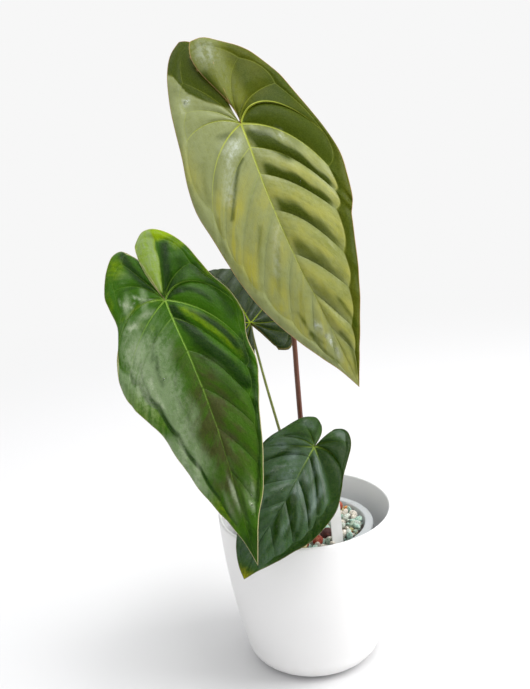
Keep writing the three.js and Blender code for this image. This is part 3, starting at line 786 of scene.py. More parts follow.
LEFT = {
    "name": "left", "slot": "leaf_vivid", "joint": (-95.2, -60, 354.7), "tip": (-38.8, -130, 159.4),
    "face": (-0.05, -1, 0.35), "detail": (16, 34, 12), "arch": 12, "droop": 8, "fold": 4,
    "half width": 65, "quilt": 3, "wave": 1.2, "pucker": 2.2, "glow": (0.45, 0.2, 0.2),
    "shine": 0.3, "gloss": 0.1, "leather": 0.5, "midrib": [0, 5, 7, 4, 0],
    "stations": [215, 175, 140, 106, 74, 43, 15, 0, 0, 0, 0, 0],
    "left": {
        "puff": 0.7, "collecting": [(0, 0.7), (3, 0.68), (5, 0.74), (7, 0.74), (11, 0.84)],
        "margin": [
            (0, 215), (-3.5, 195), (-9, 179), (-15.5, 163), (-21.5, 148), (-26.5, 131),
            (-31.5, 114), (-36.5, 96), (-45, 82), (-52.5, 67), (-56, 50), (-51.5, 34), (-46.5, 17),
            (-44, 5), (-46, -9), (-47, -22), (-42, -38), (-33, -50), (-25, -53), (-20, -48),
        ],
        "veins": [
            (0, 20, 12, 0), (1.5, 20, 12, 0), (2.7, 28, 15, 0), (4.2, 35, 15, 0), (5.8, 42, 15, 0),
            (7.3, 50, 20, 0), (8.6, 62, 22, 0), (9.2, 62, 20, 0), (10.5, 118, 10, 0),
            (14.5, 148, 40, 0), (17, 152, 140, -3), (19, 157, 125, -8),
        ],
    },
    "right": {
        "puff": 0.9, "collecting": [(0, 0.85), (6, 0.85), (7, 0.78), (8, 0.84)],
        "margin": [
            (0, 215), (6, 199), (13, 181), (23, 163), (30, 144), (36, 125), (41, 104), (47, 85),
            (51.5, 67), (50, 48), (53.5, 29), (49, 9), (40, -7), (34, -22), (28, -37), (19, -50),
            (8, -58), (-3, -59.5), (-11, -51),
        ],
        "veins": [
            (0, 20, 12, 0), (1.3, 20, 12, 0), (2.4, 28, 18, 0), (3.8, 38, 20, 0), (5.2, 50, 20, 0),
            (6.2, 62, 28, 0), (7.3, 58, 30, 0), (7.8, 66, 8, 0), (9.9, 142, 12, 0),
            (13, 160, 85, 2), (16, 172, 175, 6), (18, 200, 170, 1),
        ],
    },
    "tones": [
        (44, 84, 0), (60, 100, 4), (14, 36, 0), (144, 172, 0), (132, 152, 110), (64, 62, 32),
        (184, 196, 164), (150, 190, 76), (222, 206, 156), (98, 134, 56), (110, 140, 70),
        (110, 190, 0),
    ],
}
FRONT = {
    "name": "front", "slot": "leaf_dark", "joint": (11.4, -45, 217.1), "tip": (-51.7, -110, 137.5),
    "face": (0, -1, 0.6), "detail": (14, 26, 10), "arch": 9, "droop": 4, "fold": 1.5,
    "half width": 45, "quilt": 2.4, "wave": 0.8, "pucker": 2.0, "glow": (0.12, 0.07, 0.03),
    "shine": 0.32, "gloss": 0.1, "leather": 0.5, "midrib": [0, 0, 0, -2.5, 0],
    "stations": [121, 98, 75, 52, 31, 10, 0, 0, 0, 0],
    "left": {
        "puff": 0.9, "collecting": [(0, 0.8), (9, 0.82)],
        "margin": [
            (0, 121), (-9, 113.5), (-17, 103), (-23, 90), (-29, 74), (-35, 56), (-39, 38),
            (-40, 22), (-37, 9), (-31, -4), (-25, -16), (-19, -24), (-12, -28.5), (-6, -25),
        ],
        "veins": [
            (0, 25, 15, 0), (1, 25, 15, 0), (2.1, 32, 20, 0), (3.3, 40, 20, 0), (4.5, 50, 20, 0),
            (5.6, 80, 25, 0), (6.5, 62, 15, 0), (7.8, 108, 50, 0), (10.5, 150, 130, -2),
            (13, 183, 127, -5),
        ],
    },
    "right": {
        "puff": 1, "collecting": [(0, 0.84), (4, 0.8), (6, 0.7), (7, 0.84)],
        "margin": [
            (0, 121), (7, 110), (16, 98), (25, 84), (33, 71), (38, 54), (40, 38), (36.5, 23),
            (32, 9), (29, -6), (26, -18), (20, -27), (14, -29), (8, -25),
        ],
        "veins": [
            (0, 25, 15, 0), (0.9, 25, 15, 0), (1.9, 32, 20, 0), (2.9, 40, 25, 0), (3.8, 52, 22, 0),
            (4.3, 48, 25, 0), (4.9, 48, 12, 0), (7.5, 120, 20, 0), (10.3, 160, 130, 2),
            (13, 172, 150, 1),
        ],
    },
    "tones": [
        (38, 72, 16), (50, 84, 30), (16, 46, 0), (176, 170, 10), (80, 100, 88), (60, 84, 40),
        (130, 150, 140), (160, 190, 80), (112, 108, 50), (80, 110, 60), (88, 114, 70),
        (60, 130, 0),
    ],
}
BACK = {
    "name": "back", "slot": "leaf_dark", "joint": (-35, 26, 306.7), "tip": (-80, 125, 332),
    "face": (0, -0.3, 1), "detail": (14, 26, 10), "arch": 16, "droop": 3, "fold": 1.5,
    "half width": 50, "quilt": 2.4, "wave": 0.8, "pucker": 0.9, "glow": (0.15, 0.12, 0.08),
    "shine": 0.36, "gloss": 0.1, "leather": 0.2, "midrib": [0, 0, 0, 2.5, 0],
    "stations": [118, 96, 74, 51, 30, 10, 0, 0, 0, 0],
    "left": {
        "puff": 1, "collecting": [(0, 0.84), (9, 0.84)],
        "margin": [
            (0, 118), (-7, 110), (-16, 98), (-26, 85), (-36, 72), (-44, 56), (-48, 38), (-48, 22),
            (-45, 8), (-41, -4), (-36, -14), (-30, -22), (-22, -27), (-13, -26),
        ],
        "veins": [
            (0, 25, 15, 0), (0.9, 25, 15, 0), (1.9, 32, 20, 0), (2.9, 40, 25, 0), (3.8, 52, 22, 0),
            (4.6, 55, 25, 0), (5.4, 60, 12, 0), (8, 110, 30, 3), (10.5, 132, 100, 4),
            (13, 148, 150, 2),
        ],
    },
    "right": {
        "puff": 1, "collecting": [(0, 0.84), (9, 0.84)],
        "margin": [
            (0, 118), (8, 108), (17, 96), (26, 82), (34, 68), (40, 52), (42, 36), (42, 20), (40, 5),
            (37, -8), (32, -17), (25, -24), (17, -27), (8, -23),
        ],
        "veins": [
            (0, 25, 15, 0), (1, 25, 15, 0), (2, 32, 20, 0), (3, 40, 22, 0), (4, 50, 22, 0),
            (4.7, 52, 25, 0), (5.4, 55, 12, 0), (8, 120, 25, 0), (10.6, 155, 120, -1),
            (13, 170, 150, 1),
        ],
    },
    "tones": [
        (32, 48, 22), (38, 54, 32), (14, 26, 4), (120, 140, 20), (70, 84, 70), (60, 74, 40),
        (110, 126, 110), (180, 206, 40), (120, 110, 60), (76, 100, 60), (84, 104, 70),
        (50, 100, 0),
    ],
}


def along(points, u):
    """A smooth line through points, where u counts the points from 0."""
    points = np.array(points, float).reshape(len(points), -1)
    i = np.minimum(u.astype(int), len(points) - 2)
    f = (u - i)[..., None]
    a, b, c, d = [points[np.clip(i + k, 0, len(points) - 1)] for k in (-1, 0, 1, 2)]
    return 0.5 * (2 * b + (c - a) * f + (2 * a - 5 * b + 4 * c - d) * f**2
                  + (3 * b - a - 3 * c + d) * f**3)


def blade_net(leaf, side, t, share):
    """Points of one half blade, flat. t counts the veins from the tip. share runs from the midrib,
    0, over the collecting vein, 1, to the margin, 2. Returns x, a, inner, outer, ease and lift."""
    half = leaf["left" if side < 0 else "right"]
    stations = leaf["stations"]
    count = np.arange(len(stations))
    knot, leave, arrive, lift = [np.interp(t, count, row) for row in np.array(half["veins"]).T]
    station = np.interp(t, count, stations)
    ribs = len(leaf["midrib"]) - 1
    start = np.stack([along(leaf["midrib"], station / stations[0] * ribs)[..., 0], station], -1)
    end = along(half["margin"], knot)
    chord = np.linalg.norm(end - start, axis=-1)
    vein = np.interp(t, *zip(*half["collecting"])) + SCALLOP * np.abs(np.sin(np.pi * t))
    inner, outer = np.minimum(share, 1), np.maximum(share - 1, 0)
    s = (vein * inner + (1 - vein) * outer)[..., None]
    pull = (chord / np.cos(np.radians(arrive - leave) / 4) ** 2)[..., None]
    leave, arrive = np.radians((leave, arrive))
    go, come = [np.stack([side * np.sin(way), np.cos(way)], -1) for way in (leave, arrive)]
    flat = ((2 * s**3 - 3 * s**2 + 1) * start + (s**3 - 2 * s**2 + s) * pull * go
            + (3 * s**2 - 2 * s**3) * end + (s**3 - s**2) * pull * come)
    ease = np.minimum(1, np.minimum(t / FADE["veins"], chord / FADE["chord"]))
    return flat[..., 0], flat[..., 1], inner, outer, ease, lift * s[..., 0]


def rib_lines(leaf):
    """Points along every vein, flat, each with half its width and how brightly it shows."""
    lines = []
    last, basal, size = len(leaf["stations"]) - 1, leaf["stations"].index(0), leaf["stations"][0]
    length, spread, rail = leaf["glow"]
    way = np.linspace(0, 1, 240)

    def add(side, t, share, width, glow):
        x, a, *_ = blade_net(leaf, side, t, share)
        far = np.hypot(x, a) / size
        lines.append(np.stack([x, a, width + 0 * x, glow(far)]))

    for side in (-1, 1):
        for k in range(1, last):
            kind, reach = ("basal", spread) if k >= basal else ("side", 0.4 * spread)
            width = VEIN[kind] * (1 - VEIN["thins"] * way)
            glow = BRIGHT[max(0, k - basal)]
            add(side, np.full_like(way, k), way, width, lambda far: glow * np.exp(-far / reach))
        t = np.linspace(0.6, last - 0.6, 900)
        add(side, t, np.ones_like(t), VEIN["rail"], lambda far: rail * np.exp(-far / 0.6))
    t = np.linspace(0, basal, 900)
    up = blade_net(leaf, 1, t, np.zeros_like(t))[1] / size
    width = VEIN["midrib"] - VEIN["tip"] * up
    add(1, t, np.zeros_like(t), width, lambda far: np.exp(-up / length))
    x, a, widths, glows = np.concatenate(lines, axis=1)
    return list(zip(x, a)), widths, glows


def nearest(points, at):
    """The distance from each place to the nearest of the points, and that point's number."""
    tree = kdtree.KDTree(len(points))
    for i, (x, a) in enumerate(points):
        tree.insert((x, a, 0), i)
    tree.balance()
    found = [tree.find((x, a, 0)) for x, a in at]
    return np.array([f[2] for f in found]), np.array([f[1] for f in found])


def flat_blade(leaf, colours):
    """The blade laid flat, in metres, with what the relief and the colours need at each point.
    detail counts the rows between veins and the columns inside and outside the collecting vein."""
    rows, inside, outside = leaf["detail"]
    last = len(leaf["stations"]) - 1
    steps = (1 - np.cos(np.pi * np.arange(rows) / rows)) / 2
    tip = np.sin(np.pi / 2 * np.arange(rows) / rows)
    t_row = np.concatenate([tip, *[k + steps for k in range(1, last)], [last]])
    rise = (1 - np.cos(np.pi * np.linspace(0, 1, inside + 1))) / 2
    share = np.concatenate([rise, 1 + np.linspace(0, 1, outside + 1)[1:] ** 0.8])
    joint_row = leaf["stations"].index(0) * rows
    t, u = np.meshgrid(t_row, share, indexing="ij")
    names = ("x", "a", "inner", "outer", "ease", "lift", "t", "side")
    keys, marks, faces = {}, {name: [] for name in names}, []
    for side in (-1, 1):
        values = dict(zip(names, (*blade_net(leaf, side, t, u), t, side + 0 * t)))
        number = np.zeros(t.shape, int)
        for row, column in np.ndindex(t.shape):
            shared = row == 0 or column == 0
            key = ("rib", min(row, joint_row)) if shared else (side, row, column)
            if key not in keys:
                keys[key] = len(keys)
                for name, grid in values.items():
                    marks[name].append(grid[row, 0 if shared else column])
            number[row, column] = keys[key]
        quads = np.stack([number[:-1, :-1], number[:-1, 1:], number[1:, 1:], number[1:, :-1]], -1)
        for quad in (quads if side < 0 else quads[..., ::-1]).reshape(-1, 4):
            face = [c for k, c in enumerate(quad) if c != quad[k - 1]]
            if len(face) > 2:
                faces.append(face)
    marks = {key: np.array(value, float) for key, value in marks.items()}
    x, a = marks["x"], marks["a"]
    blade = new_piece(f"blade_{leaf['name']}_quilted", np.stack([x, -a, 0 * x], -1) * MM, faces)
    points, widths, glows = rib_lines(leaf)
    off, which = nearest(points, zip(x, a))
    marks["rib"] = np.minimum(off / widths[which], 9)
    marks["glow"] = glows[which]
    ends, across, edge = np.linspace(0, last, 1400), np.linspace(0, 2, 160), []
    for side in (-1, 1):
        for t, share in ((ends, 2 + 0 * ends), (last + 0 * across, across)):
            edge += zip(*blade_net(leaf, side, t, share)[:2])
    at_edge = (marks["outer"] == 1) | (marks["t"] == last)
    marks["margin"] = np.where(at_edge, 0, nearest(edge, zip(x, a))[0])
    marks["puff"] = np.where(marks["side"] < 0, leaf["left"]["puff"], leaf["right"]["puff"])
    marks.update(colours(marks))
    for key, value in marks.items():
        mark(blade, key, value)
    mark(blade, "flat", np.stack([x, a, 0 * x], -1), "FLOAT_VECTOR")
    return blade


def relief_tree():
    """Raises a flat blade's arch, fold, quilting and ribs, and closes it with a lower face."""
    field = Field("quilted blade", Float=f"{SHAPE}, Length, Rib, Thick")
    given = field.given
    x, a, t, inner, outer, ease, rib = [
        field.named(name) for name in ("x", "a", "t", "inner", "outer", "ease", "rib")
    ]
    v, w = a / given["Length"], abs(x) / given["Half Width"]
    bend = given["Arch"] * 4 * v * (1 - v) - given["Droop"] * w * w - given["Fold"] * w
    between = abs((t * math.pi).math("SINE"))
    swell = ((inner ** 0.75) * math.pi).math("SINE").math("MAXIMUM", 0.0)
    pillow = between ** 0.7 * swell ** 0.6 * field.named("puff")
    brim = (outer * math.pi).math("SINE") * 0.3 - outer * outer * 0.5
    wavy = given["Wave"] * outer * (t * (2 * math.pi)).math("COSINE")
    crumple = field.noise(field.named("flat", "FLOAT_VECTOR"), CRUMPLE, 3) - 0.5
    crumple = crumple * given["Pucker"] * (1 - (rib * -0.5).math("EXPONENT"))
    knot = ((x * x + a * a) * -0.2).math("EXPONENT") * KNOT
    cord = (rib * rib * -1.0).math("EXPONENT") * field.named("glow") * CORD
    height = (bend + (given["Quilt"] * (pillow + brim) + wavy + crumple) * ease
              + field.named("lift") + knot + cord)
    upper = field.move(given["Geometry"], field.vector(Z=height * MM))
    upper = field.store(upper, "under", 0.0)
    inside = (field.named("margin") * 0.35).math("MINIMUM", 1.0)
    keel = (rib * rib * -0.35).math("EXPONENT") * given["Rib"] * inside * ease
    lower = field.move(upper, field.vector(Z=(given["Thick"] + keel) * -MM))
    lower = field.store(field.node("GeometryNodeFlipFaces", {"Mesh": lower}), "under", 1.0)
    neighbours = field.node("GeometryNodeInputMeshEdgeNeighbors")
    border = field.node(
        "FunctionNodeCompare", {"A": neighbours, "B": 1}, data_type="INT", operation="EQUAL"
    )
    walled = field.node("GeometryNodeExtrudeMesh", {
        "Mesh": upper, "Selection": border, "Offset": field.vector(Z=given["Thick"] * -MM),
        "Offset Scale": 1.0,
    }, mode="EDGES")
    both = field.node("GeometryNodeJoinGeometry", {"Geometry": [walled, lower]})
    return field.end(
        field.node("GeometryNodeMergeByDistance", {"Geometry": both, "Distance": 3e-6})
    )


def blade_axes(leaf):
    """Across, from tip to joint, and out of the upper face, placed at the joint."""
    joint, tip = Vector(leaf["joint"]), Vector(leaf["tip"])
    back = (joint - tip).normalized()
    up = Vector(leaf["face"])
    up = (up - up.dot(back) * back).normalized()
    turn = Matrix((back.cross(up), back, up)).transposed().to_4x4()
    return Matrix.Translation(joint * MM) @ turn


def leaf_skin(leaf):
    """Leaf tissue. Named marks place its tones, among them painted shade, painted sheen and painted
    highlights, noises break them up along the side veins, and the veins, the margin and the lower
    face have tones of their own."""
    tones = {name: paint(*tone) for name, tone in zip(TONES, leaf["tones"])}
    shine, gloss = leaf["shine"], leaf["gloss"]
    material, graph, shader = new_material(
        f"leaf {leaf['name']}", tones["leaf"], shine,
        Coat_Roughness=0.2, IOR=1.45, Specular_IOR_Level=0.08,
    )
    marks = ("t", "inner", "side", "rib", "glow", "margin", "under")
    t, inner, side, rib, glow, margin, under = [graph.attribute(name) for name in marks]
    shade, warm, silver, gold, pale = [graph.attribute(name) for name in COLOURS]
    flat = graph.attribute("flat", "Vector")
    blotch, mottle = graph.noise(flat, 16, 3), graph.noise(flat, 3.2, 4, 0.6)
    cell = graph.node(
        "ShaderNodeTexVoronoi", {"Vector": flat, "Scale": 1 / 1.7}, feature="DISTANCE_TO_EDGE"
    )["Distance"]
    net = graph.ease(cell, 0.0, 0.16, 1, 0)
    rays = graph.noise(graph.vector(X=t, Y=inner * 0.4, Z=side * 5), 0.2, 3, 0.6) - 0.5
    cloudy = (mottle - 0.5) * 0.4 + (blotch - 0.5) * 0.6 + rays * 1.5
    slant = {"Vector": flat, "Scale": (1, 0.3, 1), "Rotation": (0, 0, 0.35)}
    streaks = graph.noise(graph.node("ShaderNodeMapping", slant), 5, 4, 0.6)
    broken = graph.even(streaks + (mottle - 0.5) * 0.6, 0.82, 1.12)
    shade = graph.ease(shade + cloudy * 0.35, 0.05, 0.95)
    warm = graph.ease(warm * broken + cloudy * 0.5, 0.1, 1.0)
    silver = graph.ease(silver * broken + cloudy * 0.45, 0.05, 1.0)
    gold = gold * graph.ease(blotch + rays * 1.2, 0.3, 0.68, 0.3, 1)
    pale = pale * graph.even(streaks + (mottle - 0.5) + rays, 0.4, 1.3)
    line = graph.ease(rib, 1.25, 0.45) * glow
    lower = graph.mix(blotch, tones["under"], tones["under2"])
    for factor in (net * 0.3, graph.ease(rib, 1.7, 0.7) * 0.8):
        lower = graph.mix(factor, lower, tones["vein"])
    skin = graph.mix(blotch, tones["leaf"], tones["leaf2"])
    # These mixes lay painted sheen, painted shade and painted highlights over the leaf's own tones.
    for factor, tone in (
        (warm, "warm"), (silver, "silver"), (gold, "gold"), (shade, "deep"), (pale, "pale"),
        (net * 0.06, "vein"), (line, "vein"),
    ):
        skin = graph.mix(factor, skin, tones[tone])
    skin = graph.mix(under, skin, lower)
    fine = net * -0.12 + graph.noise(flat, 1.2, 2) * 0.12 + mottle * 0.9 + streaks * 1.6
    feed(
        shader, Base_Color=graph.mix(graph.ease(margin, 0.6, 0.2) * 0.7, skin, tones["margin"]),
        Roughness=shine + (mottle - 0.5) * 0.14 + under * 0.16 - silver * 0.04,
        Coat_Weight=(1 - under) * graph.ease(silver, 0.1, 1, gloss, gloss + 0.32),
        Normal=bump(fine + rays - line * 0.5, leaf["leather"]),
    )
    translucent(graph, tones["through"], 0.22)
    return material


def touches(m, both=(), left=(), right=()):
    """Soft marks on the whole blade or one half of it. A line is (strength, half width, points that
    it passes), a patch (strength, x, a, half width, half length) and the turn of its long axis."""
    x, a, total = m["x"], m["a"], np.zeros_like(m["x"])
    for marks, where in ((both, 1), (left, m["side"] < 0), (right, m["side"] > 0)):
        for strength, *rest in marks:
            if len(rest) == 2:
                line = along(rest[1], np.linspace(0, len(rest[1]) - 1, 40 * len(rest[1])))
                off = (nearest(line, zip(x, a))[0] / rest[0]) ** 2
            else:
                cx, ca, wide, tall, turn = (*rest, 0)[:5]
                c, s = math.cos(math.radians(turn)), math.sin(math.radians(turn))
                across = ((x - cx) * c - (a - ca) * s) / wide
                off = (across**2 + (((x - cx) * s + (a - ca) * c) / tall) ** 2) ** 1.5
            total += where * strength * np.exp(-off)
    return total


def smooth(value, low, high):
    """0 below low, 1 above high, with an even passage between."""
    f = np.clip((value - low) / (high - low), 0, 1)
    return f * f * (3 - 2 * f)


def crease_shade(m, side, depth, basal):
    """Darkest along the jointward side of each crease, up to the basal vein, and fading over depth
    of the pillow."""
    phase = m["t"] % 1 + 0.05 * np.sin(m["inner"] * 19 + m["t"] * 4)
    depth = depth * (1.25 - 0.5 * m["inner"])
    rail = smooth(phase, depth, 0.4 * depth)
    inside = (m["side"] == side) * (m["outer"] == 0) * (m["t"] < basal)
    return rail * inside * smooth(m["inner"], 0.01, 0.12) * smooth(m["inner"], 1.02, 0.86)


def top_colours(m):
    """Painted sage sheen, painted shade in dark olive above the right creases and on the left lobe,
    and an olive brim and right shoulder darkened with painted shade.
    """
    x, a, t, outer, right = m["x"], m["a"], m["t"], m["outer"], m["side"] > 0
    strong = np.interp(a, [10, 60, 100, 140, 175], [1, 1, 0.7, 0.35, 0])
    rail = crease_shade(m, 1, 0.5, 7) * strong
    brim = right * np.maximum(smooth(outer, 0.0, 0.05), smooth(t, 7, 7.04))
    apex = right * smooth(x, 21, 6) * smooth(a, -6, -20)
    olive = brim * (1 - apex)
    lobe_line = np.interp(x, [-50, -32, -27, -17, -3], [-80, -62, -42, -28, -15])
    left_lobe_shadow = ~right * smooth(lobe_line - a, -1.5, 2.5)
    # Painted shade: dark olive above the right creases, the painted shadow of the right lobe on the
    # left lobe, shade over the olive brim and the grey apex, and dark strokes along creases and
    # grooves.
    shade = 0.95 * rail + 0.9 * left_lobe_shadow + 0.3 * apex + olive * (0.56 + touches(m, [
        (0.45, 22, 0, 26, 12, 20), (0.3, 50, 40, 8, 30), (0.25, 12, -30, 12, 22),
        (0.25, 40, -22, 12, 14), (0.3, 44, 150, 14, 60),
    ]))
    shade += touches(m, right=[
        (0.5, 3.0, [(-2, -14), (-4.5, -24), (-7, -38), (-9, -50)]),
        (0.6, 1.6, [(3, 176), (6, 186), (5, 198), (2, 210)]),
        (0.5, 1.5, [(12, 152), (15, 164), (16, 176)]),
        (0.8, 5, [(3, 10), (9, 17), (16, 27), (22, 38)]),
    ], left=[
        (0.75, 1.7, [(-10, 26), (-15, 30), (-20, 37), (-26, 47), (-31, 56), (-37, 66)]),
        (0.4, 2.2, [(-46, 60), (-50, 82), (-46, 104), (-42, 122)]),
        (0.35, 3.5, [(-38, 16), (-44, 30), (-47, 46)]), (0.3, 3, [(-24, 12), (-32, 24), (-38, 38)]),
        (0.35, 2, [(-20, 80), (-28, 96), (-34, 112)]),
        (0.3, 2, [(-14, 100), (-22, 118), (-28, 134)]),
        (0.3, 2, [(-8, 128), (-14, 144), (-18, 158)]),
        (0.45, 1.4, [(-20, 150), (-18, 163), (-12, 178)]),
        (0.6, 1.8, [(-18, 168), (-14, 182), (-8, 196)]),
    ], both=[
        (0.5, -13, 5, 4, 10, 70), (0.35, -33, -48, 5, 7), (0.6, 22, 10, 14, 12),
        (0.45, 36, 26, 9, 18, -30), (0.25, 44, 62, 6, 22), (0.2, -20, 100, 8, 50),
        (0.2, 8, 150, 8, 40),
    ])
    # Painted sheen over the blade, with painted glints on the right pillows.
    silver = (1 - brim) * (1 - left_lobe_shadow) * np.where(right, 0.62, 0.9)
    silver += apex * 0.38 + touches(m, right=[
        (0.6, 8, 10, 2.2, 5, 20), (0.75, 17, 18, 2.2, 6), (0.3, 30, 38, 9, 14, -40),
        (0.4, 40, 66, 7, 18),
    ])
    # Painted yellow glints on the swell of each pillow and on the left half, a yellow tone on the
    # brim, and a painted orange glow of light through the shaded left lobe.
    gold = 0.65 * np.abs(np.sin(np.pi * t)) * (t < 7) * (outer == 0) * smooth(a, 20, 60)
    gold += 0.2 * olive + touches(m, left=[
        (0.55, -50, 18, 8, 22), (0.5, -34, 56, 9, 14, 30), (0.5, -42, 98, 8, 24),
        (0.4, -26, 140, 7, 20),
    ]) + 0.8 * left_lobe_shadow * touches(m, [(1, -13, -32, 5, 12, 20)])
    # Painted highlights: wet glints near the tip and on the lobes, and pale streaks of sheen on the
    # left half.
    pale = touches(m, left=[
        (0.35, 4, [(-8, 12), (-16, 20), (-23, 30), (-29, 42), (-33, 52)]),
        (0.2, 3, [(-8, 84), (-16, 100), (-22, 116)]),
    ], both=[
        (0.3, -2, -66, 9, 12), (0.7, -12, 164, 1.2, 3, -20), (0.8, -6, 180, 1.2, 3, -10),
        (0.65, -31, -36, 4, 3, 20), (0.4, -15, 14, 8, 8), (0.5, -10, 166, 2.5, 5),
        (0.6, -6, 176, 2.5, 4), (0.4, 24, 20, 2, 5), (0.5, -4, 190, 2, 6),
    ])
    # warm takes the olive brim and the painted shadow on the left lobe.
    return dict(zip(COLOURS, (shade, olive + 0.9 * left_lobe_shadow, silver, gold, pale)))


def left_colours(m):
    """Vivid green on the right under painted shade, painted silver sheen on the left, brownish
    olive down the middle, and lime on top, partly painted light shining through the lobe.
    """
    x, a, t, outer, right = m["x"], m["a"], m["t"], m["outer"], m["side"] > 0
    apex_line = np.interp(a, [-58, -50, -40, -32, -22, -12, -5], [5, 6, 5, 5, 3, 1, 0])
    apex = right * (t > 8) * smooth(apex_line - x, -1.2, 1.2) * smooth(a, -4, -10)
    tip = smooth(a, 178, 196)
    band = ~right * smooth(outer, 0, 0.06) * (t < 8)
    line = ~right * smooth(m["inner"], 0.88, 0.97) * smooth(outer, 0.03, 0) * (t < 7)
    # Painted shade: along the collecting vein, darker toward the tip, and in dark strokes along the
    # creases of both halves.
    shade = 0.6 * tip + line * np.interp(a, [20, 45, 100, 140, 170], [0, 0.6, 0.7, 0.5, 0])
    shade += (1 - apex) * touches(m, right=[
        (1.0, 4, [(3, -3), (6, -12), (8, -22), (10, -32), (12, -42)]),
        (0.6, 6, [(12, -8), (17, -16), (20, -26)]),
        (0.7, 2.4, [(10, -3), (20, -2), (28, 4), (33, 12)]),
        (0.6, 5, [(30, -18), (36, -4), (42, 12), (45, 28)]),
        (0.5, 4, [(26, 20), (33, 34), (40, 50), (42, 66)]),
        (0.6, 2, [(16, 14), (26, 26), (35, 38), (41, 52)]),
        (1.2, 4.2, [(3, 8), (6, 16), (10, 25), (15, 35), (20, 45), (27, 56), (33, 68), (38, 82)]),
        (0.45, 5, [(10, 40), (16, 56), (22, 70), (28, 88)]),
        (0.7, 3, [(46, 46), (46, 66), (44, 84), (40, 100)]),
        (0.75, 2.2, [(40, 98), (37, 114), (33, 127), (28, 141), (22, 156), (17, 168)]),
        (0.45, 1.6, [(7, 142), (8, 158), (6, 174), (4, 190)]),
    ]) + touches(m, left=[
        (0.9, 4, [(-7, -12), (-12, -18), (-17, -28), (-21, -38), (-24, -48)]),
        (0.55, 1.6, [(-36, -16), (-28, -19), (-20, -18)]),
        (0.6, 1.4, [
            (-34, 40), (-36, 52), (-35, 62), (-33, 75), (-30, 86), (-27, 99), (-24, 110), (-19, 122)
        ]),
        (0.55, 2.2, [(-20, 40), (-22, 50), (-22, 62)]),
        (0.5, 1.5, [(-13, 20), (-19, 30), (-25, 42)]),
        (0.45, 1.3, [(-4, 46), (-10, 58), (-14, 72), (-13, 86)]),
        (0.5, 1.3, [(-18, 124), (-14, 138), (-11, 152), (-8, 166), (-4, 180)]),
        (0.35, 2, [(-10, 88), (-12, 100), (-9, 112)]),
    ])
    # Painted sheen: silver on the left brim, the left half, the apex and near the tip.
    sheen = np.interp(
        a, [-50, 10, 25, 45, 66, 80, 95, 106, 145, 165],
        [0, 0.15, 0.5, 0.75, 0.5, 0.1, 0.2, 0.85, 0.8, 0],
    )
    silver = apex * 0.45 + band * sheen + smooth(outer, 0.06, 0.0) * touches(m, left=[
        (0.45, -20, 26, 24, 24), (0.6, -30, 72, 10, 34), (0.6, -16, 62, 11, 22),
        (0.75, -17, 104, 10, 26), (0.55, -9, 128, 8, 18), (0.7, -5, 90, 5, 14),
        (0.5, -36, 52, 14, 46),
    ]) + touches(m, left=[
        (0.8, -30, -8, 10, 4, 75), (0.7, -16, -7, 12, 4, 80), (0.3, -26, -30, 8, 8),
    ], both=[
        (0.85, 2, 158, 2.6, 16), (0.6, -4, 164, 3, 18), (0.45, 14, 160, 6, 18, -14),
        (0.4, 8, 126, 8, 16), (0.35, 24, 60, 8, 16, -20),
    ])
    # Lime: painted light shining through the top lobe, painted lime highlights on the ridges of the
    # right half, and the leaf's lime tone along the brim.
    warm = touches(m, right=[
        (1.3, 13, -54, 11, 7), (0.6, 24, -42, 9, 7, 30), (0.3, 36, -12, 5, 12, -30),
        (0.3, 3.0, [(30, -30), (38, -10), (46, 4), (51, 18), (51, 34)]),
        (0.42, 5.5, [(10, 10), (18, 18), (28, 30), (37, 44), (42, 60)]),
        (0.1, 6, [(20, 20), (30, 36), (38, 56)]), (0.3, 4, [(18, 172), (21, 160), (19, 150)]),
    ], left=[
        (0.45, -31, -40, 12, 12), (0.3, -44, -14, 4, 20), (0.4, -16, 18, 4, 4),
        (0.35, -24, 13, 4, 4), (0.5, 1.8, [(-38, 3), (-30, 0), (-22, -3), (-12, -3), (-3, -1)]),
    ]) + 1.1 * apex + band * np.interp(
        a, [-20, 20, 45, 66, 84, 98, 110, 150, 165, 185],
        [0.2, 0.2, 0.15, 0.45, 0.35, 0.2, 0.1, 0.25, 0.5, 0.2],
    )
    gold = touches(m, [
        (0.9, 5, 96, 16, 46, -4), (0.5, 12, 62, 10, 16), (0.5, 12, 124, 22, 44),
        (0.5, -2, 158, 12, 26), (0.4, 26, 100, 10, 34), (0.5, -4, 44, 6, 12),
    ])
    # Painted highlights: pale glints and streaks on the left half and near the tip.
    pale = 0.15 * apex + touches(m, left=[
        (0.7, -31, 11, 5, 3), (0.35, -17, 6, 8, 3), (0.2, -26, 28, 12, 7), (0.15, -12, 34, 7, 10),
        (0.35, -38, 50, 9, 34), (0.35, -27, 122, 4, 16, -16), (0.3, -20, 136, 3, 12, -18),
        (0.15, -14, 68, 8, 14), (0.2, -16, 104, 6, 20),
        (0.7, 1.1, [(-36, -12), (-31, -7), (-25, -6)]),
        (0.65, 1.0, [(-24, -12), (-16, -6), (-8, -3)]), (0.6, 1.0, [(-32, -5), (-26, -3)]),
        (0.45, 1.4, [(-30, 54), (-30, 66), (-27, 78)]),
    ], both=[
        (0.45, 2.5, 156, 1.6, 12), (0.5, 12, 170, 1.5, 5), (0.35, 16, 160, 1.5, 8, -14),
    ])
    return dict(zip(COLOURS, (shade, warm, silver, gold, pale)))


